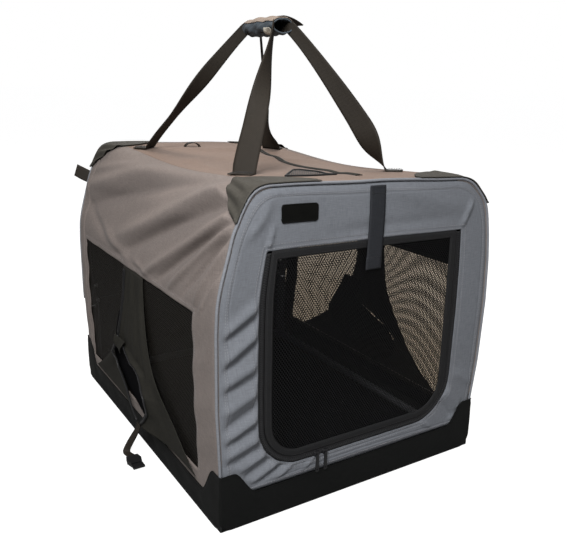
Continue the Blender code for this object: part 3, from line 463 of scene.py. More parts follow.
def mottled(name, dark, light, scale, roughness, detail=2.0):
    """A plain surface whose colour wanders from dark to light by noise in the piece's own space."""
    made, tree, shader = new_finish(name)
    noise = put(tree, "TexNoise", Vector=put(tree, "TexCoord").outputs["Object"], Scale=scale, Detail=detail)
    ramp = put(tree, "ValToRGB", None, noise)
    for element, colour in zip(ramp.color_ramp.elements, (dark, light)):
        element.color = (*colour, 1)
    fill(tree, shader, {"Base Color": ramp, "Roughness": roughness})
    return made, tree, shader


stitch_thread, _, _ = mottled("sewing thread", (0.16, 0.155, 0.16), (0.34, 0.33, 0.34), 900, 0.7)


def places_at(distances, far, values):
    """The values at some distances along a line, by straight steps between the known ones."""
    return np.stack([np.interp(distances, far, values[:, k]) for k in range(values.shape[1])], 1)


def stitch_row(name, path, normals, thread, length=0.0030, pitch=0.0044, width=0.0006, rise=0.0003):
    """Lock stitches along a path: short flat-topped bars with tapered ends, one every pitch, lying on the
    cloth. Each bar has a ridge of six points."""
    path, normals = settled(path), np.broadcast_to(np.asarray(normals, float), path.shape)
    far = lengths(path)
    starts = np.arange(pitch / 2, far[-1] - length, pitch)
    first, last = places_at(starts, far, path), places_at(starts + length, far, path)
    middle_up = unit(places_at(starts + length / 2, far, normals))
    way = unit(last - first)
    side = np.cross(way, middle_up) * width / 2
    lift = middle_up * rise
    quarter = (last - first) * 0.2
    points = np.stack(
        [
            first - lift * 0.3, first + quarter - side, first + quarter + lift, first + quarter + side,
            last - quarter - side, last - quarter + lift, last - quarter + side, last - lift * 0.3,
        ],
        1,
    )
    shape = np.array([[0, 2, 1], [0, 3, 2], [1, 2, 5], [1, 5, 4], [2, 3, 6], [2, 6, 5], [7, 4, 5], [7, 5, 6],
                      [0, 1, 4], [0, 4, 7], [0, 7, 6], [0, 6, 3]])
    faces = (shape[None] + 8 * np.arange(len(starts))[:, None, None]).reshape(-1, 3)
    row = new_piece(name, points, faces)
    row.data.materials.append(thread)
    return row


def folds_with_front(piece, body="base"):
    """The soft piece rides on its body, with a mesh of its own."""
    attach(piece, body)
    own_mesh(piece)


tail_start, patch_end = roof_half - 0.085, roof_half + 0.094


def patch_depth(run):
    """How far the corner patch reaches from the end seam at a place along its run: a straight taper and a
    sine arch that leans towards the side."""
    share = np.clip((run - tail_start) / (patch_end - tail_start), 0, 1)
    return 0.0025 + 0.010 * (1 - share) + 0.068 * np.sin(np.pi * share**1.12) ** 0.75


side_creases = {
    -1: (
        (-0.335, 0.532, 0.065, 0.385, 0.0130, 0.015), (-0.33, 0.512, 0.06, 0.352, -0.0095, 0.011),
        (-0.335, 0.492, -0.06, 0.343, 0.0105, 0.009), (-0.33, 0.481, -0.10, 0.338, -0.0075, 0.006),
        (-0.33, 0.474, -0.17, 0.350, 0.0085, 0.0065), (-0.33, 0.463, -0.22, 0.352, -0.0070, 0.005),
        (-0.33, 0.455, -0.26, 0.350, 0.0065, 0.005), (-0.33, 0.440, -0.285, 0.345, -0.0045, 0.004),
        (-0.325, 0.405, -0.27, 0.330, 0.0045, 0.005), (-0.325, 0.350, -0.285, 0.250, 0.0020, 0.006),
        (-0.24, 0.552, 0.29, 0.440, 0.0125, 0.016), (-0.27, 0.536, 0.27, 0.405, -0.0085, 0.012),
        (0.10, 0.50, 0.30, 0.47, 0.0050, 0.010), (0.02, 0.340, 0.16, 0.375, 0.0045, 0.010),
        (0.16, 0.36, 0.30, 0.41, -0.0035, 0.010), (-0.10, 0.338, 0.00, 0.352, 0.0030, 0.006),
    ),
    1: (
        (-0.335, 0.52, 0.03, 0.385, 0.0110, 0.014), (-0.33, 0.50, 0.00, 0.36, -0.0080, 0.011),
        (-0.33, 0.48, -0.12, 0.35, 0.0085, 0.008), (-0.33, 0.462, -0.20, 0.35, -0.0060, 0.006),
        (0.33, 0.50, -0.02, 0.40, 0.0095, 0.015), (0.33, 0.47, 0.08, 0.36, -0.0065, 0.011),
        (-0.18, 0.345, 0.20, 0.352, 0.0030, 0.009),
    ),
}
side_rows = spaced(
    -cover_end, 12, -0.2990, 14, window_front, 110, window_back, 16, 0.3090, 8, cover_end
)
straight_start = roof_half + shoulder_run
window_start, window_end = straight_start + wall_top - window_top, straight_start + wall_top - window_foot
side_runs = spaced(
    roof_half + 0.0002, 44, straight_start, 44, window_start, 30, window_end, 6, straight_start + wall_top - 0.032
)
for side_name, side in sides:
    y, run = np.meshgrid(side_rows, side_runs, indexing="ij")
    level = on_cover(side, run, y, 0.0)[..., 2]
    from_end = fade_line - np.abs(y)
    calm = ease((from_end - 0.001) / 0.018) * ease((run - roof_half) / 0.07)
    calm = calm * (0.25 + 0.75 * ease((level - 0.325) / 0.03)) * ease((level - 0.1) / 0.1)
    calm = calm * np.where(run < patch_end + 0.006, ease((from_end - patch_depth(run)) / 0.020), 1.0)
    relief = crease_relief(y, level, side_creases[side]) * calm
    relief = relief - 0.0030 * np.clip(1 - from_end / 0.011, 0, 1) ** 2 * ease((level - 0.10) / 0.02)
    relief = relief - 0.0016 * np.exp(-(((end_plane - y - 0.036) / 0.0018) ** 2)) + 0.0010 * (y > 0.294)
    relief = relief - 0.0008 * np.exp(-(((level - window_top - 0.011) / 0.0016) ** 2)) * (abs(y) < 0.29)
    band_ripple = 0.0010 * np.sin(level * 95 + y * 60) * np.clip((0.36 - level) / 0.05, 0, 1)
    relief = relief + band_ripple * np.clip(from_end / 0.03, 0, 1) * np.clip((level - 0.07) / 0.05, 0, 1)
    curl = 0.0070 * (1 - np.sqrt(np.clip(1 - np.clip(1 - from_end / 0.010, 0, 1) ** 2, 0, 1)))
    grid = on_cover(side, run, y, relief - curl * 0.55)
    middle_y = (side_rows[1:] + side_rows[:-1]) / 2
    middle_run = (side_runs[1:] + side_runs[:-1]) / 2
    open_rows = (middle_y > window_front) & (middle_y < window_back)
    open_runs = (middle_run > window_start) & (middle_run < window_end)
    kept = ~(open_rows[:, None] & open_runs[None, :])
    panel = surface(f"side_cover_{side_name}", grid, np.stack([y, run], -1), keep=kept, turn=side > 0)
    size, area = cut_size(grid, kept)
    lined(panel, side_cloth, shaded_black_lining, 0.0020)
    folds_with_front(panel)
    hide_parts(f"side_panel_{side_name}")
    hem_runs = np.linspace(window_start - 0.007, window_end, 110)
    hem_y = np.concatenate([np.linspace(0.285, window_front - 0.007, 220), np.full(110, window_front - 0.007)])
    hem_run = np.concatenate([np.full(220, hem_runs[0]), hem_runs])
    path = on_cover(side, hem_run, hem_y, 0.0002)
    row = stitch_row(f"window_stitch_{side_name}", path, (side, 0, 0.0), stitch_thread)
    folds_with_front(row)


y, across = np.meshgrid(spaced(-cover_end, 90, cover_end), spaced(-roof_half, 60, roof_half), indexing="ij")
roof_creases = (
    (-0.17, 0.05, 0.05, 0.12, 0.003, 0.030), (-0.16, -0.12, -0.02, -0.03, -0.003, 0.024),
    (0.02, 0.10, 0.17, 0.02, 0.0035, 0.028), (-0.15, 0.22, 0.10, 0.19, 0.003, 0.022),
    (-0.10, -0.24, 0.12, -0.20, -0.002, 0.020), (-0.17, -0.20, -0.10, 0.10, 0.0025, 0.014),
)


def on_roof(x, y, lift):
    """A place on the roof's cloth, creases included."""
    x, y = np.broadcast_arrays(np.asarray(x, float), np.asarray(y, float))
    calm = ease((fade_line - np.abs(y)) / 0.05) * ease((roof_half - np.abs(x)) / 0.04)
    rise = crease_relief(x, y, roof_creases) * calm
    rise = rise - 0.0010 * np.exp(-(((end_plane - np.abs(y) - 0.026) / 0.0018) ** 2))
    place = on_cover(1, np.abs(x), y, 0.0)
    place[..., 0] = x + np.sign(x) * (place[..., 0] - np.abs(x))
    place[..., 2] += rise + lift
    return place


# The roof cloth is a browner, lighter copy of the sides' cloth: painted warm light from above.
warm_lit_roof_cloth = woven(
    "roof cloth with painted warm top light", (0.102, 0.073, 0.058), (0.300, 0.220, 0.178), 1300, 0.6, 0.3, 0.9, sheen=0.05
)
grid = on_roof(across, y, 0.0)
roof = surface("roof_cover", grid, np.stack([across, y], -1), turn=True)
size, area = cut_size(grid)
lined(roof, warm_lit_roof_cloth, shaded_black_lining, 0.0020)
folds_with_front(roof)
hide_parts("roof_panel")


# The front and rear panels are cloth sewn over the hoops, each round an opening; their blue-grey tint is painted
# cool light. Their outer edges roll back to a welt seam, and the sewn zip draws the front one into short slanting
# puckers.
def box_outline(left, right_edge, foot, top, foot_radius, head_radius, out=0.0):
    """A rectangle with rounded corners, grown by out, as corner arcs of ten steps from the lower left."""
    left, right_edge, foot, top = left - out, right_edge + out, foot - out, top + out
    found = []
    for cx, cz, radius, first in (
        (left + foot_radius, foot + foot_radius, foot_radius, 180),
        (right_edge - foot_radius, foot + foot_radius, foot_radius, 270),
        (right_edge - head_radius, top - head_radius, head_radius, 0),
        (left + head_radius, top - head_radius, head_radius, 90),
    ):
        angle = np.radians(first + np.linspace(0, 90, 11))
        found.append(np.stack([cx + radius * np.cos(angle), cz + radius * np.sin(angle)], 1))
    return np.concatenate(found)


def reach_outline(ring, centre, angles):
    """Where rays from the centre cross a closed outline, one per angle."""
    start, end = ring - centre, np.roll(ring, -1, 0) - centre
    way = np.stack([np.cos(angles), np.sin(angles)], 1)[:, None]
    edge = end - start
    cross = way[..., 0] * edge[:, 1] - way[..., 1] * edge[:, 0]
    with np.errstate(divide="ignore", invalid="ignore"):
        far = (start[:, 0] * edge[:, 1] - start[:, 1] * edge[:, 0]) / cross
        on_edge = (start[:, 0] * way[..., 1] - start[:, 1] * way[..., 0]) / cross
    good = (far > 0) & (on_edge >= -1e-6) & (on_edge <= 1 + 1e-6)
    far = np.where(good, far, 0).max(1)
    return centre + way[:, 0] * far[:, None]


def ring_grid(inner, outer, centre, shares, around=360):
    """Points between two outlines: one row for each share of the way out, one column for each angle.
    The angles of both outlines' own corners are kept."""
    angles = [np.linspace(-math.pi, math.pi, around, endpoint=False)]
    for ring in (inner, outer):
        away = ring - centre
        angles.append(np.arctan2(away[:, 1], away[:, 0]))
    angles = np.unique(np.round(np.concatenate(angles), 5))
    near, far = reach_outline(inner, centre, angles), reach_outline(outer, centre, angles)
    shares = np.asarray(shares)[:, None, None]
    return near + (far - near) * shares, np.linalg.norm(far - near, axis=1)


def upright(flat, depth):
    """Points drawn flat in x and z, stood up at a depth in y."""
    return np.stack([flat[..., 0], np.broadcast_to(depth, flat.shape[:-1]), flat[..., 1]], -1)


# The panel cloth is a bluer copy of the sides' cloth: painted cool light falling on the front.
cool_lit_panel_cloth = woven(
    "panel cloth with painted cool light", (0.078, 0.083, 0.093), (0.232, 0.246, 0.272), 1300, 0.5, 0.22, 0.9, sheen=0.05
)
end_shares = np.concatenate([np.linspace(0, 0.7, 30)[:-1], np.linspace(0.7, 1, 20)])
panel_half, panel_top, panel_corner = 0.2560, 0.5160, 0.0760
panel_outline = box_outline(-panel_half, panel_half, 0.0525, panel_top, 0.010, panel_corner)
door_box = (-0.1940, 0.1940, 0.0820, 0.4290)
door_opening = box_outline(*door_box, 0.075, 0.004)
front_creases = [
    (-0.249, 0.317, -0.193, 0.356, 0.0042, 0.0085), (-0.249, 0.306, -0.193, 0.337, -0.0030, 0.007),
    (-0.249, 0.276, -0.190, 0.316, 0.0046, 0.009), (-0.249, 0.261, -0.187, 0.300, -0.0034, 0.007),
    (-0.249, 0.240, -0.187, 0.268, 0.0036, 0.008), (-0.249, 0.226, -0.186, 0.247, -0.0030, 0.006),
    (-0.252, 0.196, -0.184, 0.226, 0.0044, 0.009), (-0.249, 0.170, -0.182, 0.201, -0.0034, 0.007),
    (-0.249, 0.154, -0.176, 0.186, 0.0040, 0.007), (-0.249, 0.141, -0.174, 0.171, -0.0030, 0.006),
    (-0.253, 0.124, -0.168, 0.152, 0.0040, 0.007), (-0.255, 0.107, -0.166, 0.135, -0.0032, 0.006),
    (-0.236, 0.096, -0.158, 0.124, 0.0036, 0.006), (-0.218, 0.083, -0.154, 0.112, -0.0030, 0.005),
    (-0.208, 0.073, -0.145, 0.101, 0.0032, 0.005), (-0.199, 0.065, -0.137, 0.092, -0.0028, 0.004),
    (-0.172, 0.060, -0.128, 0.086, 0.0026, 0.004), (-0.120, 0.058, -0.095, 0.080, 0.0020, 0.004),
    (0.160, 0.165, 0.248, 0.066, 0.0036, 0.010), (0.150, 0.140, 0.222, 0.060, -0.0028, 0.007),
    (0.130, 0.088, 0.165, 0.060, 0.0022, 0.005), (0.205, 0.16, 0.255, 0.13, 0.0022, 0.009),
    (0.196, 0.436, 0.216, 0.480, 0.0030, 0.005), (-0.192, 0.432, -0.186, 0.462, 0.0024, 0.004),
    (-0.23, 0.452, -0.19, 0.495, 0.0020, 0.009), (0.03, 0.505, 0.20, 0.470, 0.0018, 0.016),
    (-0.06, 0.445, 0.15, 0.452, -0.0014, 0.010),
]


def front_relief(x, z):
    """The front panel's puckers, calm where the badge is sewn on and at the boot's rim."""
    badge = np.exp(-(((x + 0.136) / 0.052) ** 4) - ((z - 0.478) / 0.024) ** 4)
    rim = 0.060 + 0.041 * ease(1 - (boot_half_x - np.abs(x) - 0.020) / 0.044)
    return 1.4 * crease_relief(x, z, front_creases) * (1 - badge) * ease((z - rim) / 0.012)


def panel_rings(opening, outline, centre_height):
    """A panel's points from its opening out to its edge, and how far each one is from the two."""
    flat, gap = ring_grid(opening, outline, np.array([0.0, centre_height]), end_shares)
    return flat, end_shares[:, None] * gap, (1 - end_shares)[:, None] * gap


flat_grid, from_inner, from_outer = panel_rings(door_opening, panel_outline, 0.27)
roll = 0.0046 * np.clip(1 - from_outer / 0.014, 0, 1) ** 2
hem = 0.0006 * np.exp(-(((from_outer - 0.016) / 0.0016) ** 2))
hem = hem + 0.0007 * np.exp(-(((from_inner - 0.006) / 0.0014) ** 2))
relief = front_relief(flat_grid[..., 0], flat_grid[..., 1]) * np.clip(from_outer / 0.014, 0, 1)
relief = relief * np.clip(from_inner / 0.006, 0, 1)
grid = upright(flat_grid, -end_plane + roll + hem - relief)
front_panel = surface("front_cover", grid, flat_grid, close_v=True)
lined(front_panel, cool_lit_panel_cloth, shaded_black_lining, 0.0018)
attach(front_panel, "front_hoop")
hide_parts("front_panel")

rear_opening = box_outline(-0.1800, 0.1800, 0.2215, 0.4300, 0.075, 0.004)
rear_outline = box_outline(-panel_half, panel_half, 0.1825, panel_top, 0.004, panel_corner)
rear_creases = [(-0.24, 0.22 + 0.05 * k, -0.19, 0.25 + 0.05 * k, 0.0016 * (-1) ** k, 0.010) for k in range(4)]
rear_creases += [(0.24, 0.24 + 0.05 * k, 0.19, 0.26 + 0.05 * k, 0.0016 * (-1) ** k, 0.010) for k in range(4)]
rear_creases += [(-0.20, 0.47, 0.20, 0.475, 0.0022, 0.014)]
flat_grid, from_inner, from_outer = panel_rings(rear_opening, rear_outline, 0.32)
roll = 0.0024 * np.clip(1 - from_outer / 0.014, 0, 1) ** 2
relief = crease_relief(flat_grid[..., 0], flat_grid[..., 1], rear_creases) * np.clip(from_outer / 0.02, 0, 1)
relief = relief * np.clip(from_inner / 0.006, 0, 1)
grid = upright(flat_grid, end_plane - roll + relief)
rear_panel = surface("rear_cover", grid, flat_grid, close_v=True, turn=True)
lined(rear_panel, cool_lit_panel_cloth, shaded_black_lining, 0.0018)
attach(rear_panel, "rear_hoop")
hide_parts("rear_panel")


# Below the rear hoop's hinges a skirt of the same cloth closes the back. It stands on the boot and is
# notched round each hinge.
across, up_share = np.meshgrid(np.linspace(-0.2555, 0.2555, 220), np.linspace(0, 1, 24), indexing="ij")
past_hinge = np.maximum(ease((0.2370 - np.abs(across)) / 0.006), ease((np.abs(across) - 0.2490) / 0.003))
skirt_top = 0.1680 + 0.0160 * past_hinge
level = 0.0530 + (skirt_top - 0.0530) * up_share
ripple = 0.0009 * np.sin(across * 70 + level * 30) * np.sin(np.pi * up_share)
grid = np.stack([across, 0.3298 + ripple + 0.0016 * ease((level - 0.166) / 0.010), level], -1)
skirt = surface("rear_skirt", grid, np.stack([across, level], -1), turn=True)
lined(skirt, cool_lit_panel_cloth, shaded_black_lining, 0.0018)
folds_with_front(skirt)
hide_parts("rear_lower_panel")


# Seams run round the hoops and the door: a welt of doubled cloth where the panels meet the sides, and
# one or two rows of lock stitching beside every edge.
def arch(bend, heights, degrees, tops):
    """An upside-down U drawn flat in x and z, up one side and down the other. Its bends have the radius
    bend about the middle of the cover's shoulder."""
    turn = np.radians(degrees)
    post = np.stack([np.full(len(heights), roof_half + bend), heights], 1)
    corner = np.stack([roof_half + bend * np.cos(turn), wall_top + bend * np.sin(turn)], 1)
    rail = np.stack([tops, np.full(len(tops), wall_top + bend)], 1)
    half = np.concatenate([post, corner, rail])
    return np.concatenate([half, half[-2::-1] * (-1, 1)])


welt_path = arch(0.0785, np.linspace(0.090, 0.43, 50), np.linspace(0, 90, 15), np.linspace(0.17, 0.0, 18))


def tube_along(name, path, radius, around=10, settle=True):
    """A round cord along a path: each ring lies square to the way the path goes there."""
    path = settled(path) if settle else np.asarray(path, float)
    way = unit(np.gradient(path, axis=0))
    helper = np.array([0.0, 1.0, 0.0]) if abs(way[:, 1]).max() < 0.9 else np.array([0.31, 0.17, 0.93])
    one = unit(np.cross(way, helper))
    two = np.cross(way, one)
    angle = np.linspace(0, 2 * math.pi, around, endpoint=False)[:, None, None]
    size = np.broadcast_to(np.asarray(radius, float), (len(path),))[:, None]
    grid = path + size * (np.cos(angle) * one + np.sin(angle) * two)
    round_it = np.arange(around) / around * 2 * math.pi * float(np.max(radius))
    flat = np.stack(np.meshgrid(round_it, lengths(path), indexing="ij"), -1)
    cord = surface(name, grid, flat, close_u=True, settle=False)
    faced_outwards(cord)
    return cord


# The welt's cloth is paler than the panel cloth: a painted highlight on its rounded, lit edge.
welt_highlight_cloth = woven("welt cloth with painted highlight", (0.100, 0.104, 0.114), (0.300, 0.312, 0.340), 1300, 0.5, 0.2, 0.9)
for end_name, y_place in (("front", -0.3270), ("rear", 0.3270)):
    kept = welt_path[:, 1] > (0.0 if end_name == "front" else 0.185)
    welt = tube_along(f"{end_name}_welt", upright(welt_path[kept], y_place), 0.0024)
    welt.data.materials.append(welt_highlight_cloth)
    folds_with_front(welt)


def evenly(line, gap=0.002):
    """The same line with a point every gap metres."""
    far = lengths(line)
    return places_at(np.arange(0, far[-1], gap), far, line)


for row_name, inset in (("inner", 0.0100), ("outer", 0.0128)):
    sides_and_foot = (inset - panel_half, panel_half - inset, 0.0620)
    ring = box_outline(*sides_and_foot, panel_top - inset, 0.010, panel_corner - inset)
    closed = np.concatenate([ring[5:], ring[:5]])
    line = evenly(places_at(np.linspace(0, 1, 900) * (len(closed) - 1), np.arange(len(closed)), closed))
    lift = front_relief(line[:, 0], line[:, 1]) * np.clip(inset / 0.014, 0, 1)
    depth = -end_plane + 0.0046 * (1 - inset / 0.014) ** 2 - lift - 0.0001
    path = upright(line, depth)
    row = stitch_row(f"front_stitch_{row_name}", path, (0, -1.0, 0), stitch_thread)
    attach(row, "front_hoop")
for row_name, margin in (("near", 0.0028), ("far", 0.0085)):
    ring = box_outline(*door_box, 0.075 + margin, 0.004, out=margin)
    line = evenly(np.concatenate([ring, ring[:1]]))
    lift = front_relief(line[:, 0], line[:, 1]) * min(margin / 0.006, 1)
    path = upright(line, -0.3302 - lift)
    row = stitch_row(f"door_stitch_{row_name}", path, (0, -1.0, 0), stitch_thread)
    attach(row, "front_hoop")


# The nets are knitted black polyester with six-sided eyes, stretched flat in the door, the rear window,
# the side windows and the roof vent. The eyes are cut in the finish, about four millimetres apart.
net_holes, entry, leave = shader_group(
    "knitted net eyes",
    [("Pitch", "NodeSocketFloat", 0.006), ("Eye", "NodeSocketFloat", 0.0021)],
    [("Alpha", "NodeSocketFloat"), ("Height", "NodeSocketFloat"), ("Strand", "NodeSocketFloat")],
)
# Knitted eyes: two grids of cells, pitch by 1.5 pitch, are set half a cell apart. A place nearer than the
# eye's radius to a cell's middle is clear, and the strand between is raised and lighter away from the eye, a
# painted highlight.
cloth_map = put(net_holes, "UVMap")
cloth_map.uv_map = "cloth"
pitch = entry.outputs["Pitch"]
cell = put(net_holes, "CombineXYZ", X=pitch, Y=put(net_holes, "Math", "MULTIPLY", pitch, 1.5), Z=1.0)
half = put(net_holes, "VectorMath", "SCALE", cell, Scale=0.5)
minus = put(net_holes, "VectorMath", "SCALE", cell, Scale=-0.5)
far_from = []
for source in (cloth_map, put(net_holes, "VectorMath", "ADD", cloth_map, half)):
    wrap = put(net_holes, "VectorMath", "WRAP", source, half, minus)
    flat_part = put(net_holes, "VectorMath", "MULTIPLY", wrap, (1.0, 1.0, 0.0))
    far_from.append(put(net_holes, "VectorMath", "LENGTH", flat_part))
strand = put(net_holes, "Math", "SUBTRACT", put(net_holes, "Math", "MINIMUM", *far_from), entry.outputs["Eye"])
for steepness, sockets in ((6000.0, ("Alpha",)), (900.0, ("Height", "Strand"))):
    edge = put(net_holes, "Math", "MULTIPLY", strand, steepness)
    edge.use_clamp = True
    fill(net_holes, leave, dict.fromkeys(sockets, edge))


def netting(name, pitch, eye, dark, light):
    """A knitted net: the eyes are clear, and the strands are rounded and a little glossy, with a painted
    highlight that lightens each strand away from its eyes.
    """
    net, tree, shader = new_finish(name)
    eyes = put(tree, "Group", net_holes, Pitch=pitch, Eye=eye).outputs
    # Dark at the eye, light along the strand's middle: a painted highlight on the rounded strand.
    tone = put(tree, "Mix", "RGBA", Factor=eyes["Strand"], A=(*dark, 1), B=(*light, 1))
    relief = put(tree, "Bump", Strength=0.6, Distance=0.0004, Height=eyes["Height"])
    fill(tree, shader, {"Base Color": tone, "Alpha": eyes["Alpha"], "Normal": relief, "Roughness": 0.55,
                        "Specular IOR Level": 0.12})
    return net


door_netting = netting("door netting", 0.0046, 0.00150, (0.002, 0.002, 0.002), (0.016, 0.016, 0.017))
side_netting = netting("side netting", 0.0044, 0.00112, (0.003, 0.003, 0.003), (0.022, 0.019, 0.015))


def flat_net(name, outline, steps, place, netting_used, facing="end"):
    """A net inside an outline, as rings shrunk towards its middle, with a slight wave. It stands at a place
    in y, or in x when it faces a side."""
    centre = (outline.max(0) + outline.min(0)) / 2
    shares = np.linspace(0.0, 1.0, steps)
    flat, _ = ring_grid(centre + (outline - centre) * 0.004, outline, centre, shares, around=160)
    wave = 0.0006 * np.sin(flat[..., 0] * 31 + flat[..., 1] * 13) * (1 - shares[:, None] ** 4)
    depth = place + wave
    grid = upright(flat, depth) if facing == "end" else np.concatenate([depth[..., None], flat], -1)
    net = surface(name, grid, flat, close_v=True)
    net.data.materials.append(netting_used)
    return net


rear_net_outline = box_outline(-0.1870, 0.1870, 0.2145, 0.4370, 0.0820, 0.0035)
fine_netting = netting("rear netting", 0.0040, 0.00098, (0.004, 0.004, 0.004), (0.026, 0.024, 0.020))
rear_net = flat_net("rear_netting", rear_net_outline, 14, 0.3274, fine_netting)
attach(rear_net, "rear_hoop")
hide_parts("rear_net")
door_net_outline = box_outline(-0.1702, 0.1702, 0.1058, 0.4150, 0.0498, 0.0015)
door_net = flat_net("door_netting", door_net_outline, 16, -0.3287, door_netting)
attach(door_net, "front_door")
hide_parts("door_net")
for side_name, side in sides:
    ring = box_outline(-0.2600, 0.2900, 0.0600, 0.3390, 0.001, 0.001)
    net = flat_net(f"side_netting_{side_name}", ring, 14, side * 0.2570, side_netting, "side")
    folds_with_front(net)
    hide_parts(f"side_net_{side_name}")


# The front door is a leaf of net in a frame of black tape, closed all round its sides and foot by a
# coil zip whose tape is sewn to the panel. Two sliders meet on the foot run, each with a pull tab.
black_tape = woven("black binding tape", (0.005, 0.005, 0.0055), (0.024, 0.024, 0.025), 1700, 0.4, 0.2, 0.6)
leaf_outline = box_outline(-0.1835, 0.1835, 0.0925, 0.4285, 0.0645, 0.0010)
leaf_box = (-0.1705, 0.1705, 0.1055, 0.4155)
leaf_inside = box_outline(*leaf_box, 0.0500, 0.0015)
shares = np.linspace(0, 1, 9)
flat_grid, _ = ring_grid(leaf_inside, leaf_outline, np.array([0.0, 0.26]), shares, around=300)
crown = 0.0008 * np.sin(np.pi * shares)[:, None] ** 0.6
binding = surface("door_edge_tape", upright(flat_grid, -0.3296 - crown), flat_grid, close_v=True)
lined(binding, black_tape, black_tape, 0.0014)
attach(binding, "front_door")
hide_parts("door_binding")
black_thread = woven("black thread", (0.01, 0.01, 0.01), (0.05, 0.05, 0.052), 3000, 0.3, 0.1, 0.6)
for row_name, margin in (("inner", 0.0030), ("outer", 0.0100)):
    ring = box_outline(*leaf_box, 0.050 + margin, 0.002, out=margin)
    line = evenly(np.concatenate([ring, ring[:1]]))
    row = stitch_row(f"leaf_stitch_{row_name}", upright(line, -0.3304), (0, -1.0, 0), black_thread)
    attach(row, "front_door")


# The door's zip is a coil of plastic teeth on woven tape, sewn to the front panel. It runs down both sides
# of the door and along its foot, round two bends.
chain_half, chain_foot, chain_bend = 0.1887, 0.0873, 0.0697
turn = np.radians(np.linspace(180, 270, 24))
straight = np.stack([np.full(60, -chain_half), np.linspace(0.4255, 0.158, 60)], 1)
bend = np.array([chain_bend - chain_half, chain_foot + chain_bend])
bend = bend + chain_bend * np.stack([np.cos(turn), np.sin(turn)], 1)
foot = np.stack([np.linspace(-0.118, 0.118, 60), np.full(60, chain_foot)], 1)
chain_path = np.concatenate([straight, bend, foot, bend[::-1] * (-1, 1), straight[::-1] * (-1, 1)])
far = lengths(chain_path)
even = np.linspace(0, far[-1], 420)
line = places_at(even, far, chain_path)
way = unit(np.gradient(line, axis=0))
aside = np.stack([way[:, 1], -way[:, 0]], 1)
cross_shares = np.array([-0.0048, -0.0030, -0.0018, -0.0010, 0.0, 0.0010, 0.0018, 0.0030, 0.0048])
cross_heights = np.array([0.0, 0.0001, 0.0002, 0.0009, 0.0011, 0.0009, 0.0002, 0.0001, 0.0])
flat = line[:, None] + aside[:, None] * cross_shares[None, :, None]
tape_map = np.stack(np.broadcast_arrays(cross_shares[None, :], even[:, None]), -1)
zip_tape = surface("front_zip_tape", upright(flat, -0.3293 - cross_heights), tape_map, turn=True)
lined(zip_tape, black_tape, black_tape, 0.0012)
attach(zip_tape, "front_hoop")
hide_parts("front_zip_chain")
coil_plastic, _, _ = mottled("zip coil plastic", (0.008, 0.008, 0.009), (0.035, 0.035, 0.037), 220, 0.32)
teeth_at = np.arange(0.001, far[-1] - 0.001, 0.0018)
tooth_line, tooth_way = places_at(teeth_at, far, chain_path), places_at(teeth_at, even, way)
tooth_aside = np.stack([tooth_way[:, 1], -tooth_way[:, 0]], 1)
sign = np.where(np.arange(len(teeth_at)) % 2, 1.0, -1.0)[:, None]


def tooth_point(along_way, sideways, out):
    """A corner of every tooth at once: so far along the chain, to its own side, and out from the tape."""
    flat = tooth_line + tooth_way * along_way + tooth_aside * (sideways * sign)
    return settled(upright(flat, -end_plane - out))


corners = []
for out in (0.0, 0.0008):
    for along_way, sideways in ((-0.0006, 0.0026), (0.0006, 0.0026), (0.0005, -0.0008), (-0.0005, -0.0008)):
        corners.append(tooth_point(along_way, sideways, out))
points = np.stack(corners, 1)
block = np.array([[4, 5, 6, 7], [0, 1, 5, 4], [1, 2, 6, 5], [2, 3, 7, 6], [3, 0, 4, 7], [3, 2, 1, 0]])
faces = (block[None] + 8 * np.arange(len(points))[:, None, None]).reshape(-1, 4)
teeth = new_piece("front_zip_teeth", points, faces)
faced_outwards(teeth)
teeth.data.materials.append(coil_plastic)
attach(teeth, "front_hoop")


# Everything that is tied, lifted or looped on the crate is black-brown polypropylene webbing, woven in
# ribs across its width. The strap that holds the rolled door hangs from the top seam, its end hemmed.
webbing = woven("dark webbing", (0.007, 0.006, 0.0045), (0.036, 0.029, 0.022), 640, 0.45, 0.3, 0.7, depth=0.0003)
strap_cloth = woven(
    "grey tie webbing", (0.009, 0.010, 0.012), (0.034, 0.036, 0.042), 760, 0.45, 0.25, 0.7, depth=0.0003
)


def band(name, route, across, width, cloth, thickness=0.0018, steps=8, crown=0.0, settle=True):
    """Webbing along a route: the width lies along across at every station, and the middle stands up by
    the crown. The face is the side that the route crossed with across points to."""
    route = np.asarray(route, float)
    across = np.broadcast_to(np.asarray(across, float), route.shape)
    across = unit(across)
    way = unit(np.gradient(route, axis=0))
    out = np.cross(way, across)
    share = np.linspace(-0.5, 0.5, steps + 1)
    wide = np.broadcast_to(np.asarray(width, float), (len(route),))[:, None] * share[None]
    rise = crown * (1 - (2 * share) ** 2)
    grid = route[:, None] + across[:, None] * wide[..., None] + out[:, None] * rise[None, :, None]
    flat = np.stack(np.broadcast_arrays(wide, lengths(route)[:, None]), -1)
    piece = surface(name, grid, flat, settle=settle)
    lined(piece, cloth, cloth, thickness)
    return piece


def smooth_line(knots, count):
    """Even stations along a smooth curve through the knots, by cubic steps between neighbours."""
    knots = np.asarray(knots, float)
    ends = np.vstack([2 * knots[0] - knots[1], knots, 2 * knots[-1] - knots[-2]])
    found = []
    for k in range(1, len(ends) - 2):
        a, b, c, d = ends[k - 1:k + 3]
        t = np.linspace(0, 1, 24, endpoint=False)[:, None]
        bend = (2 * a - 5 * b + 4 * c - d) * t**2 + (3 * b - a - 3 * c + d) * t**3
        found.append(0.5 * (2 * b + (c - a) * t + bend))
    dense = np.vstack(found + [ends[-2:-1]])
    far = lengths(dense)
    return places_at(np.linspace(0, far[-1], count), far, dense)


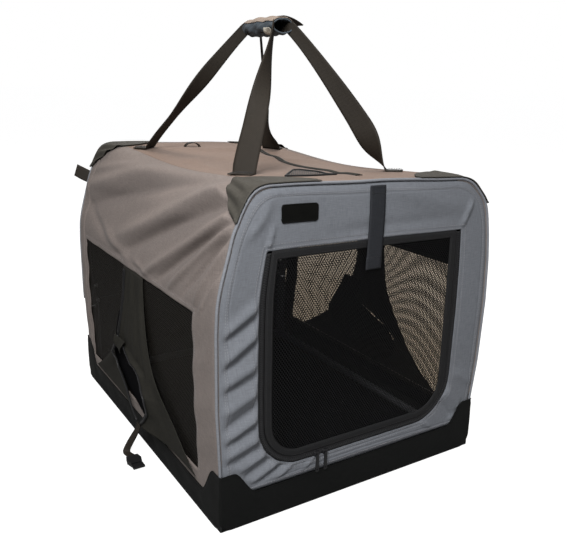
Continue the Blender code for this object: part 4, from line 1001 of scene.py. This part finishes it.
fall = np.linspace(0, 1, 60)
strap_route = np.stack([
    0.008 + 0.0008 * np.sin(fall * 5), -0.3324 - 0.0007 * np.sin(np.pi * fall), 0.5118 - 0.1305 * fall
], 1)
tie = band("door_tie", strap_route, (1, 0, 0), 0.0294, strap_cloth, crown=0.0003)
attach(tie, "tie_strap")
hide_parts("door_tie_strap")
hem_route = strap_route[50:] + (-0.0012, -0.0005, -0.0006)
hem = band("door_tie_hem", hem_route, (1, 0, 0), 0.0296, strap_cloth, thickness=0.0011)
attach(hem, "tie_strap")
for mark, (low, high) in {"top": (0.500, 0.5095), "hem": (0.3835, 0.4005)}.items():
    box = np.array([(-0.0045, high), (0.0205, high), (0.0205, low), (-0.0045, low), (-0.0045, high)])
    line = places_at(np.linspace(0, 4, 60), np.arange(5), box)
    path = upright(line, -0.3334 if mark == "top" else -0.3337)
    row = stitch_row(f"door_tie_stitch_{mark}", path, (0, -1.0, 0), black_thread, width=0.0007)
    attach(row, "tie_strap")


# The maker's place on the front panel is a soft rubber badge, moulded with a raised rim and sewn on above
# the door. It is left blank.
badge_rubber, tree, shader = mottled(
    "badge rubber", (0.002, 0.002, 0.002), (0.006, 0.006, 0.005), 60.0, 0.6, detail=3.0
)
grain = put(tree, "TexNoise", Vector=put(tree, "TexCoord").outputs["Object"], Scale=1400.0, Detail=2.0)
relief = put(tree, "Bump", Strength=0.25, Distance=0.0001, Height=grain)
fill(tree, shader, {"Normal": relief, "Specular IOR Level": 0.08})
badge_middle, badge_half, badge_corner = np.array([-0.136, 0.478]), np.array([0.0362, 0.0132]), 0.0055
crowded = np.sin(np.linspace(-np.pi / 2, np.pi / 2, 61))
past = np.clip(np.abs(crowded) * badge_half[0] - badge_half[0] + badge_corner, 0, badge_corner)
reach = badge_half[1] - badge_corner + np.sqrt(badge_corner**2 - past**2)
x, z = np.broadcast_arrays(crowded[:, None] * badge_half[0], crowded * reach[:, None])
past_x = np.clip(np.abs(x) - badge_half[0] + badge_corner, 0, None)
past_z = np.clip(np.abs(z) - badge_half[1] + badge_corner, 0, None)
rim_marks, rim_heights = (0, 0.0003, 0.0009, 0.0013, 0.0020), (0.0002, 0.0012, 0.0014, 0.0013, 0.0009)
heights = np.interp(badge_corner - np.hypot(past_x, past_z), rim_marks, rim_heights)
flat_grid = np.stack([x, z], -1) + badge_middle
badge = surface("blank_badge", upright(flat_grid, -0.3304 - heights), flat_grid)
lined(badge, badge_rubber, badge_rubber, 0.0005)
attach(badge, "front_hoop")
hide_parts("label_patch")


# Over each side window hangs a bell-shaped pocket of thin dark cloth, sewn along its top and sides. A
# zip comes down its rear half, and below the slider it stands open, one corner folded over.
flap_cloth = woven("thin dark pocket cloth", (0.006, 0.006, 0.005), (0.031, 0.029, 0.023), 1500, 0.6, 0.6, 0.8)
pocket_top, pocket_foot, slider_at, cloth_share = 0.330, 0.058, 0.50, 0.42


def half_width(down):
    """Half the pocket's width in y at a place down its height: a narrow top that flares like a bell, by a
    power of the way down."""
    return 0.047 + 0.205 * down**2.6


def pocket_point(side, down, along, lift):
    """A place on the side pocket: down runs from its top edge to its hanging foot, along is the distance
    in y as a share of its half width there, and lift stands off outwards. The cloth bulges round its
    drooping point by a bell curve, and ripples and pleats in sine waves."""
    down, along, lift = np.broadcast_arrays(np.asarray(down, float), along, lift)
    y = half_width(down) * along
    droop = np.exp(-(((y + 0.045) / 0.070) ** 2))
    foot = pocket_foot - 0.004 * droop
    z = pocket_top + (foot - pocket_top) * down
    bulge = 0.0155 * droop * down**2.5
    ripple = 0.0015 * np.sin(np.pi * down) * (1 + np.sin(y / 0.070 * np.pi))
    pleats = np.sin(along * 7.5 + 1.0) + 0.6 * np.sin(along * 13 - down * 5)
    pleat = 0.0030 * np.sin(np.pi * down) ** 0.5 * pleats.clip(-0.3, 2)
    x = 0.2585 + lift + bulge + ripple + pleat + 0.005 * down
    return np.stack([side * x, y, z], -1)


def zip_along(down, way):
    """Where the pocket's zip lies, as a share of the half width: way is -1 for the front lip of the
    opening and 1 for the rear lip. The lips meet above the slider and below the opening."""
    if way < 0:
        y = np.interp(down, (0, 0.2, 0.5, 0.55, 0.60, 0.65, 0.75, 0.85, 0.93, 1),
                      (0.044, 0.056, 0.082, 0.056, 0.008, -0.045, -0.084, -0.088, -0.068, -0.045))
    else:
        y = np.interp(down, (0, 0.2, 0.5, 0.6, 0.7, 0.8, 0.9, 0.97, 1),
                      (0.044, 0.056, 0.084, 0.102, 0.112, 0.096, 0.046, -0.022, -0.043))
    return np.minimum(y, 0.88 * half_width(down)) / half_width(down)


def flap_folds(piece, side_name):
    """The piece rides on its flap and swings with it, with a mesh of its own."""
    folds_with_front(piece, f"flap_{side_name}")


downs = spaced(0.0, 22, 0.48, 62, 0.98, 3, 1.0)
for side_name, side in sides:
    for part_name, way, count, curl_height in (("front", -1, 44, 0.010), ("rear", 1, 34, 0.004)):
        seam, lip = np.full_like(downs, way), zip_along(downs, way)
        first, last = (seam, lip) if way < 0 else (lip, seam)
        share = np.linspace(0, 1, count + 1)
        down = np.repeat(downs[:, None], count + 1, 1)
        along = first[:, None] + (last - first)[:, None] * share[None]
        wrinkle = 0.0016 * np.sin(along * 9 + down * 7) * np.sin(np.pi * share)[None] * np.sin(np.pi * down)
        opened = np.sin(np.pi * np.clip((down - slider_at) / 0.48, 0, 1))
        edge = share[None] if way < 0 else 1 - share[None]
        reach = (1 - edge) * np.abs(last - first)[:, None] * half_width(down)
        curl = curl_height * opened * np.clip(1 - reach / 0.040, 0, 1) ** 2
        grid = pocket_point(side, down, along, 0.0014 + wrinkle.clip(-0.0004, 0.01) + curl)
        flat = np.stack([grid[..., 1], grid[..., 2]], -1)
        cloth_part = surface(f"pocket_{part_name}_{side_name}", grid, flat, turn=side < 0)
        lined(cloth_part, flap_cloth, flap_cloth, 0.0009)
        flap_folds(cloth_part, side_name)
        if part_name == "front":
            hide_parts(f"side_flap_{side_name}")
        size, area = cut_size(grid)
        slant = math.hypot(*size) * 0.85
        size = (slant, area / cloth_share / slant)
        edge_downs = np.linspace(0.02, 0.985, 90)
        curl = curl_height * np.sin(np.pi * np.clip((edge_downs - slider_at) / 0.48, 0, 1))
        lip_line = pocket_point(side, edge_downs, zip_along(edge_downs, way), 0.0024 + curl)
        tape_name = f"pocket_tape_{part_name}_{side_name}"
        tape = band(tape_name, lip_line, (0, -way, 0.0), 0.0102, black_tape, thickness=0.0006, steps=3)
        flap_folds(tape, side_name)
        size = (0.0102, float(lengths(lip_line)[-1]))
        coil_line = lip_line + (side * 0.0007, 0, 0)
        teeth = tube_along(f"pocket_teeth_{part_name}_{side_name}", coil_line, 0.0008, around=6)
        teeth.data.materials.append(coil_plastic)
        flap_folds(teeth, side_name)
    # Behind the open mouth a flat sheet of the black lining stands in for the shade inside the pocket: painted
    # shade.
    down, along = np.meshgrid(np.linspace(0.36, 0.99, 30), np.linspace(-1, 1, 30), indexing="ij")
    middle = (zip_along(down, -1) + zip_along(down, 1)) / 2
    breadth = 0.5 * (zip_along(down, 1) - zip_along(down, -1)) + 0.034 * np.sin(np.pi * down) / half_width(down)
    behind = pocket_point(side, down, middle + breadth * along, 0.0)
    behind[..., 0] = side * (0.2586 + 0.004 * down + 0 * along)
    flat = np.stack([behind[..., 1], behind[..., 2]], -1)
    back = surface(f"pocket_shade_sheet_{side_name}", behind, flat, turn=side < 0)
    lined(back, shaded_black_lining, shaded_black_lining, 0.0004)
    flap_folds(back, side_name)
    size, area = cut_size(behind)
    fold, across = np.meshgrid(np.linspace(0, 1, 22), np.linspace(0, 1, 22), indexing="ij")
    y = 0.020 + 0.062 * across + fold * (0.070 - 0.020 - 0.060 * across)
    level = 0.192 - 0.043 * fold - 0.006 * np.sin(np.pi * across) * (1 - fold)
    down = (pocket_top - level) / 0.273
    lift = 0.0060 + 0.0050 * np.sin(np.pi * (fold * 0.8 + 0.1)) ** 2
    grid = pocket_point(side, down, y / half_width(down), lift)
    corner = surface(f"pocket_corner_{side_name}", grid, np.stack([y, level], -1), turn=side > 0)
    lined(corner, flap_cloth, flap_cloth, 0.0009)
    flap_folds(corner, side_name)
    _, area = cut_size(grid)


# Hard-wearing black cloth doubles the cover over the four upper corners, where the hoops bend. Each
# patch tapers to a narrow tail on the roof and hangs down the side, with a hem and a row of stitches.
patch_cloth = woven("dark corner cloth", (0.017, 0.016, 0.013), (0.086, 0.080, 0.068), 1000, 0.6, 0.4, 0.8)
patch_runs = spaced(tail_start, 18, roof_half, 34, patch_end)
for end_name, end in (("front", -1), ("rear", 1)):
    for side_name, side in sides:
        run, share = np.meshgrid(patch_runs, spaced(0, 16, 0.94, 2, 1.0), indexing="ij")
        y = end * (end_plane - patch_depth(run) * share)
        fade = ease(share * 2.2) * ease((run - roof_half + 0.01) / 0.03)
        pucker = 0.0016 * (1 + np.sin(run * 210 + share * 4)) * fade
        hem = np.where(share > 0.92, 0.0004, 0.0)
        grid = on_cover(side, run, y, 0.0016 + pucker + hem)
        patch = surface(f"corner_{end_name}_{side_name}", grid, np.stack([run, y], -1), turn=end * side < 0)
        lined(patch, patch_cloth, patch_cloth, 0.0012)
        folds_with_front(patch)
        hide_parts(f"corner_patch_{end_name}_{side_name}")
        size, area = cut_size(grid)
        edge_run = np.linspace(tail_start + 0.002, patch_end - 0.006, 160)
        edge_y = end * (end_plane - patch_depth(edge_run) + 0.0032)
        path = on_cover(side, edge_run, edge_y, 0.0020)
        above = on_cover(side, edge_run, edge_y, 0.0120) - path
        row = stitch_row(f"corner_stitch_{end_name}_{side_name}", path, above, black_thread)
        folds_with_front(row)


# The roof opens along a curved zip that runs from beside the front vent back to the right. Its coil
# lies between two strips of tape, with a row of stitches beside each.
zip_ys = np.linspace(-0.280, 0.205, 150)
zip_centre = 0.012 + 0.093 * ((zip_ys + 0.280) / 0.485) ** 1.3
profile = ((-0.0062, 0.0012), (-0.0050, 0.0018), (-0.0020, 0.0018), (-0.0013, 0.0026), (0.0, 0.0030),
           (0.0013, 0.0026), (0.0020, 0.0018), (0.0050, 0.0018), (0.0062, 0.0012))
columns = [on_roof(zip_centre + aside, zip_ys, rise) for aside, rise in profile]
far = lengths(np.stack([zip_ys, zip_centre], 1))
flat = np.stack(np.broadcast_arrays(np.array([aside for aside, _ in profile])[None], far[:, None]), -1)
roof_tape = surface("roof_zip_tape", np.stack(columns, 1), flat, turn=True)
lined(roof_tape, flap_cloth, flap_cloth, 0.0008)
folds_with_front(roof_tape)
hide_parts("roof_zip")
for strip_name, side in sides:
    path = on_roof(zip_centre + side * 0.0082, zip_ys, 0.0004)
    row = stitch_row(f"roof_zip_stitch_{strip_name}", path, (0, 0, 1.0), stitch_thread)
    folds_with_front(row)


# A small piece of knitted net in the roof lets warm air out beside the zip. It is sewn in flat, and its
# edge is bound with a cord of black tape.
vent_net = netting("vent netting", 0.0036, 0.00105, (0.002, 0.002, 0.002), (0.014, 0.013, 0.012))
vent_share, vent_way = np.meshgrid(np.linspace(0, 1, 16), np.linspace(0, 1, 16), indexing="ij")
left = -0.104 + 0.086 * vent_way
right_edge = -0.008 + 0.002 * vent_way
vent_x = left + (right_edge - left) * vent_share
vent_y = -0.246 + 0.112 * vent_way
grid = on_roof(vent_x, vent_y, 0.0012)
vent = surface("vent_netting", grid, np.stack([vent_x, vent_y], -1))
vent.data.materials.append(vent_net)
folds_with_front(vent)
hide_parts("roof_vent")
size, area = cut_size(grid)
rim = np.array([[-0.104, -0.246], [-0.008, -0.246], [-0.006, -0.134], [-0.018, -0.134], [-0.104, -0.246]])
rim = places_at(np.linspace(0, 4, 161), np.arange(5), rim)
vent_cord = tube_along("vent_binding", on_roof(rim[:, 0], rim[:, 1], 0.0015), 0.0016)
vent_cord.data.materials.append(black_tape)
folds_with_front(vent_cord)


# Two webbing loops are sewn to the crate: one stands on the roof near the back, and one sticks out
# from the back panel's upper corner.
turn_angles = np.linspace(0, math.pi, 40)
loop_x, loop_y = -0.037, 0.239
loop_z = 0.5188 - roof_sag(loop_y) + 0.0098 * np.sin(turn_angles)
loop_route = np.stack([loop_x + 0.0165 * np.cos(turn_angles), np.full(40, loop_y), loop_z], 1)
roof_loop = band("roof_webbing_loop", loop_route, (0, 1, 0), 0.0100, webbing, thickness=0.0016)
folds_with_front(roof_loop)
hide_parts("roof_loop")
loop_route = smooth_line([(-0.2310, 0.3312, 0.4515), (-0.2430, 0.3450, 0.4585), (-0.2560, 0.3530, 0.4660),
                          (-0.2575, 0.3500, 0.4665), (-0.2465, 0.3395, 0.4590), (-0.2330, 0.3308, 0.4520)], 50)
back_loop = band(
    "rear_webbing_loop", loop_route, (0.33, 0, 0.94), 0.0250, webbing, thickness=0.0012, settle=False
)
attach(back_loop, "rear_hoop")
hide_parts("rear_loop")


# Two long webbing handles are sewn to the roof in boxed crosses and rise to the grip, turning on
# edge as they go up. They are narrower there, because the grip squeezes them together.
handle_width, grip_x, grip_reach, grip_level = 0.0396, 0.0060, 0.0555, 0.752


def handle_line(side):
    """The middle line of one handle: flat on the roof, then a cubic curve up to the grip and back."""
    near = grip_x + side * 0.0155
    halves = []
    for end in (-1, 1):
        step = np.linspace(0, 1, 16, endpoint=False)[:, None]
        tail = on_roof(side * 0.165, end * 0.220 + 0.012, 0.0025)
        root = on_roof(side * 0.145, end * 0.200 + 0.012, 0.0025)
        low = np.array([side * 0.108, end * 0.162 + 0.008, 0.594])
        high = np.array([near + side * 0.026, end * 0.088, 0.712])
        last = np.array([near, end * 0.050, grip_level])
        t = np.linspace(0, 1, 90)[:, None]
        rise = root * (1 - t) ** 3 + 3 * low * t * (1 - t) ** 2 + 3 * high * t**2 * (1 - t) + last * t**3
        halves.append(np.vstack([tail + (root - tail) * step, rise]))
    inside = np.stack([np.full(9, near), np.linspace(-0.045, 0.045, 9), np.full(9, grip_level)], 1)
    return np.vstack([halves[0], inside, halves[1][::-1]])


for side_name, side in sides:
    route = handle_line(side)
    way = unit(np.gradient(route, axis=0))
    risen = ease((route[:, 2] - 0.520) / 0.232)
    turn_start, turn_rise = (0.580, 0.160) if side < 0 else (0.512, 0.075)
    turn = 0.5 * math.pi * ease((route[:, 2] - turn_start) / turn_rise)
    level = unit(np.cross((0.0, 0.0, 1.0), way))
    up = np.cross(way, level)
    lies = np.cos(turn)[:, None] * level + np.sin(turn)[:, None] * up
    width = handle_width * (1 - 0.45 * risen**1.5)
    handle = band(f"handle_{side_name}", route, lies, width, webbing, thickness=0.0020, crown=0.0006)
    folds_with_front(handle)
    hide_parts(f"handle_strap_{side_name}")
    size = (handle_width, float(lengths(route)[-1]))
    for end_name, first, last in (("front", 1, 15), ("rear", len(route) - 16, len(route) - 2)):
        a, b = route[first], route[last]
        aside = level[first] * 0.0155
        corners = (a - aside, a + aside, b + aside, b - aside, a - aside, b + aside, b - aside, a + aside)
        path = evenly(np.array(corners), 0.0025) + (0, 0, 0.0013)
        row = stitch_row(
            f"handle_box_{side_name}_{end_name}", path, (0, 0, 1.0), black_thread, width=0.0008, rise=0.0005
        )
        folds_with_front(row)


# The grip is a cloth sleeve wrapped round both handles: blue-grey cloth with a beige top and a
# blank cream tag, closed by a webbing tongue that is lifted to open it.
grip_cloth = woven(
    "blue-grey grip cloth", (0.024, 0.030, 0.037), (0.098, 0.118, 0.136), 1100, 0.6, 0.6, 0.85, sheen=0.05
)
grip_top_cloth = woven(
    "beige grip cloth", (0.130, 0.102, 0.082), (0.390, 0.315, 0.260), 1200, 0.6, 0.3, 0.85, sheen=0.05
)


def grip_size(place, angle, out):
    """Half the width and half the height of the grip along its length, pinched in at both ends
    and a little rumpled: two sine waves round it and along it."""
    swell = (1 + 0.06 * np.cos(np.pi * place / 2)) * (1 - 0.10 * abs(place) ** 5)
    rumple = 0.0010 * np.sin(angle * 3 + place * 8) + 0.0008 * np.sin(angle * 7 - place * 13)
    rumple = rumple * np.clip((1 - abs(place)) / 0.1, 0, 1)
    return 0.0248 * swell + rumple + out, 0.0152 * swell + rumple + out


def grip_patch(angle, place, out):
    """A part of the sleeve's skin and its flat coordinates: place runs from -1 to 1 along the grip."""
    angle, place = np.meshgrid(angle, place, indexing="ij")
    wide, tall = grip_size(place, angle, out)
    x, z = grip_x + wide * np.cos(angle), grip_level + tall * np.sin(angle)
    return np.stack([x, grip_reach * place, z], -1), np.stack([angle * 0.020, grip_reach * place], -1)


grid, flat = grip_patch(np.linspace(0, 2 * math.pi, 64, endpoint=False), np.linspace(-1, 1, 60), -0.0010)
grip = surface("grip", grid, flat, close_u=True, turn=True)
lined(grip, grip_cloth, grip_cloth, 0.0022)
folds_with_front(grip)
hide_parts("grip_sleeve")
grid, flat = grip_patch(np.radians(np.linspace(28, 152, 34)), np.linspace(-0.97, 0.97, 40), 0.0001)
cap = surface("grip_top", grid, flat)
lined(cap, grip_top_cloth, grip_top_cloth, 0.0008)
folds_with_front(cap)
size, area = cut_size(grid)
grid, flat = grip_patch(np.radians(np.linspace(192, 236, 12)), np.linspace(-0.86, -0.52, 12), 0.0009)
tag_cloth = woven("cream tag", (0.40, 0.37, 0.30), (0.66, 0.63, 0.55), 2400, 0.2, 0.1, 0.7)
tag = surface("blank_tag", grid, flat)
lined(tag, tag_cloth, tag_cloth, 0.0004)
folds_with_front(tag)
size, area = cut_size(grid)
reach = np.linspace(0, 1, 26)
route = np.stack([0.0150 + 0.0420 * reach, np.zeros(26), 0.7706 - 0.0135 * reach**1.8], 1)
tongue = band("grip_tongue_webbing", route, (0, 1, 0), 0.0836, webbing, steps=16, crown=0.0004)
folds_with_front(tongue, "grip_tongue")
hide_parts("grip_tongue")


# A narrow webbing strap hangs from each pocket's drooping point and runs forward to a side-release
# buckle that lies on the floor. It turns from standing to lying flat on its way.
for side_name, side in sides:
    route = smooth_line([(side * 0.2815, -0.046, 0.0580), (side * 0.2840, -0.046, 0.0460),
                         (side * 0.3028, -0.036, 0.0049), (side * 0.3028, -0.0620, 0.0045)], 50)
    turn = np.linspace(0, 1, 50)[:, None]
    lies = (1 - turn) * np.array([0, 1.0, 0]) + turn * np.array([side, 0, 0])
    strap = band(f"flap_webbing_{side_name}", route, lies, 0.0130, webbing, thickness=0.0020, settle=False)
    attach(strap, f"flap_{side_name}")
    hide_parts(f"flap_tie_{side_name}")
    size = (0.0130, float(lengths(route)[-1]))


# The two hoops are bent steel tube with a grey powder coat. They give a little where the cover is
# drawn tight, and stand true at their hinge pins.
grain, entry, leave = shader_group(
    "fine grain",
    [("Dark", "NodeSocketColor", (0.1, 0.1, 0.1, 1)), ("Light", "NodeSocketColor", (0.2, 0.2, 0.2, 1)),
     ("Grains per metre", "NodeSocketFloat", 900.0)],
    [("Color", "NodeSocketColor"), ("Height", "NodeSocketFloat"), ("Wear", "NodeSocketFloat")],
)
where = put(grain, "TexCoord").outputs["Object"]
fine = put(grain, "TexNoise", Vector=where, Scale=entry.outputs["Grains per metre"], Detail=2.0, Roughness=0.5)
broad = put(grain, "TexNoise", Vector=where, Scale=28.0, Detail=4.0, Roughness=0.6)
share = put(grain, "Math", "SUBTRACT", put(grain, "Math", "MULTIPLY_ADD", fine, 0.4, broad), 0.2)
tone = put(grain, "Mix", "RGBA", Factor=share, A=entry.outputs["Dark"], B=entry.outputs["Light"])
fill(grain, leave, {"Color": tone, "Height": fine, "Wear": broad})


def hard_finish(name, dark, light, grains, roughness, metallic, depth, shine=0.5):
    """A hard surface with a fine grain in the piece's own space: the colour runs from dark to light by
    0.4 x fine noise + broad noise - 0.2, and the broad noise also makes it duller in places."""
    finish, tree, shader = new_finish(name)
    grained = put(tree, "Group", grain, Dark=(*dark, 1), Light=(*light, 1), Grains_per_metre=grains).outputs
    dull = put(tree, "Math", "MULTIPLY_ADD", grained["Wear"], 0.3, roughness - 0.15)
    bump = put(tree, "Bump", Strength=0.6, Distance=depth, Height=grained["Height"])
    fill(tree, shader, {"Base Color": grained["Color"], "Roughness": dull, "Normal": bump, "Metallic": metallic,
                        "Specular IOR Level": shine})
    return finish


coated_steel = hard_finish(
    "grey coated steel", (0.045, 0.046, 0.048), (0.075, 0.076, 0.080), 1400, 0.42, 0.0, 0.00005
)
for end_name, y, foot, pivot in (("front", -0.3187, 0.0430, 0.050), ("rear", 0.3187, 0.1730, 0.180)):
    degrees, tops = np.linspace(0, 90, 26)[1:], np.linspace(roof_half, 0, 16)[1:]
    path = upright(arch(0.0685, np.linspace(foot, wall_top, 60), degrees, tops), y)
    path += (settled(path) - path) * ease((path[:, 2:] - pivot - 0.010) / 0.060)
    hoop = tube_along(f"{end_name}_hoop_tube", path, 0.0080, around=24, settle=False)
    hoop.data.materials.append(coated_steel)
    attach(hoop, f"{end_name}_hoop")
    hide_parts(f"{end_name}_hoop")


# The base frame, posts and hinge brackets wear the same coat as the hoops. Pins and spring buttons are
# bare zinc-plated steel.
plated_steel = hard_finish(
    "zinc-plated steel", (0.36, 0.36, 0.35), (0.56, 0.56, 0.54), 2400, 0.34, 1.0, 0.00003
)


def dress(starts, finish):
    """Gives the solids whose names start so their finish."""
    for node_name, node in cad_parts.items():
        if node_name.startswith(starts):
            node.data.materials.clear()
            node.data.materials.append(finish)


dress(("base_frame", "rear_post", "front_hinge_bracket", "rear_hinge_bracket"), coated_steel)
dress(("front_hinge_pin", "rear_hinge_pin", "front_release", "rear_release"), plated_steel)


# The floor is a stiff board wrapped in black felted cloth. It lies on the boot, between the rails of the
# base frame.
felt = hard_finish(
    "black felted cloth", (0.002, 0.002, 0.0025), (0.007, 0.007, 0.008), 1100, 0.95, 0.0, 0.0004, shine=0.1
)
dress("floor_board", felt)


# Buckles and the door's zip pulls are moulded black acetal with a fine spark-eroded grain. The door's two zip
# sliders are die-cast and painted black.
acetal = hard_finish("black acetal", (0.005, 0.005, 0.0055), (0.012, 0.012, 0.013), 2600, 0.42, 0.0, 0.00004)
slider_paint = hard_finish(
    "black painted zinc", (0.008, 0.008, 0.009), (0.020, 0.020, 0.022), 1800, 0.30, 0.0, 0.00003
)
dress(("buckle_", "pull_tab"), acetal)
dress("zip_slider", slider_paint)
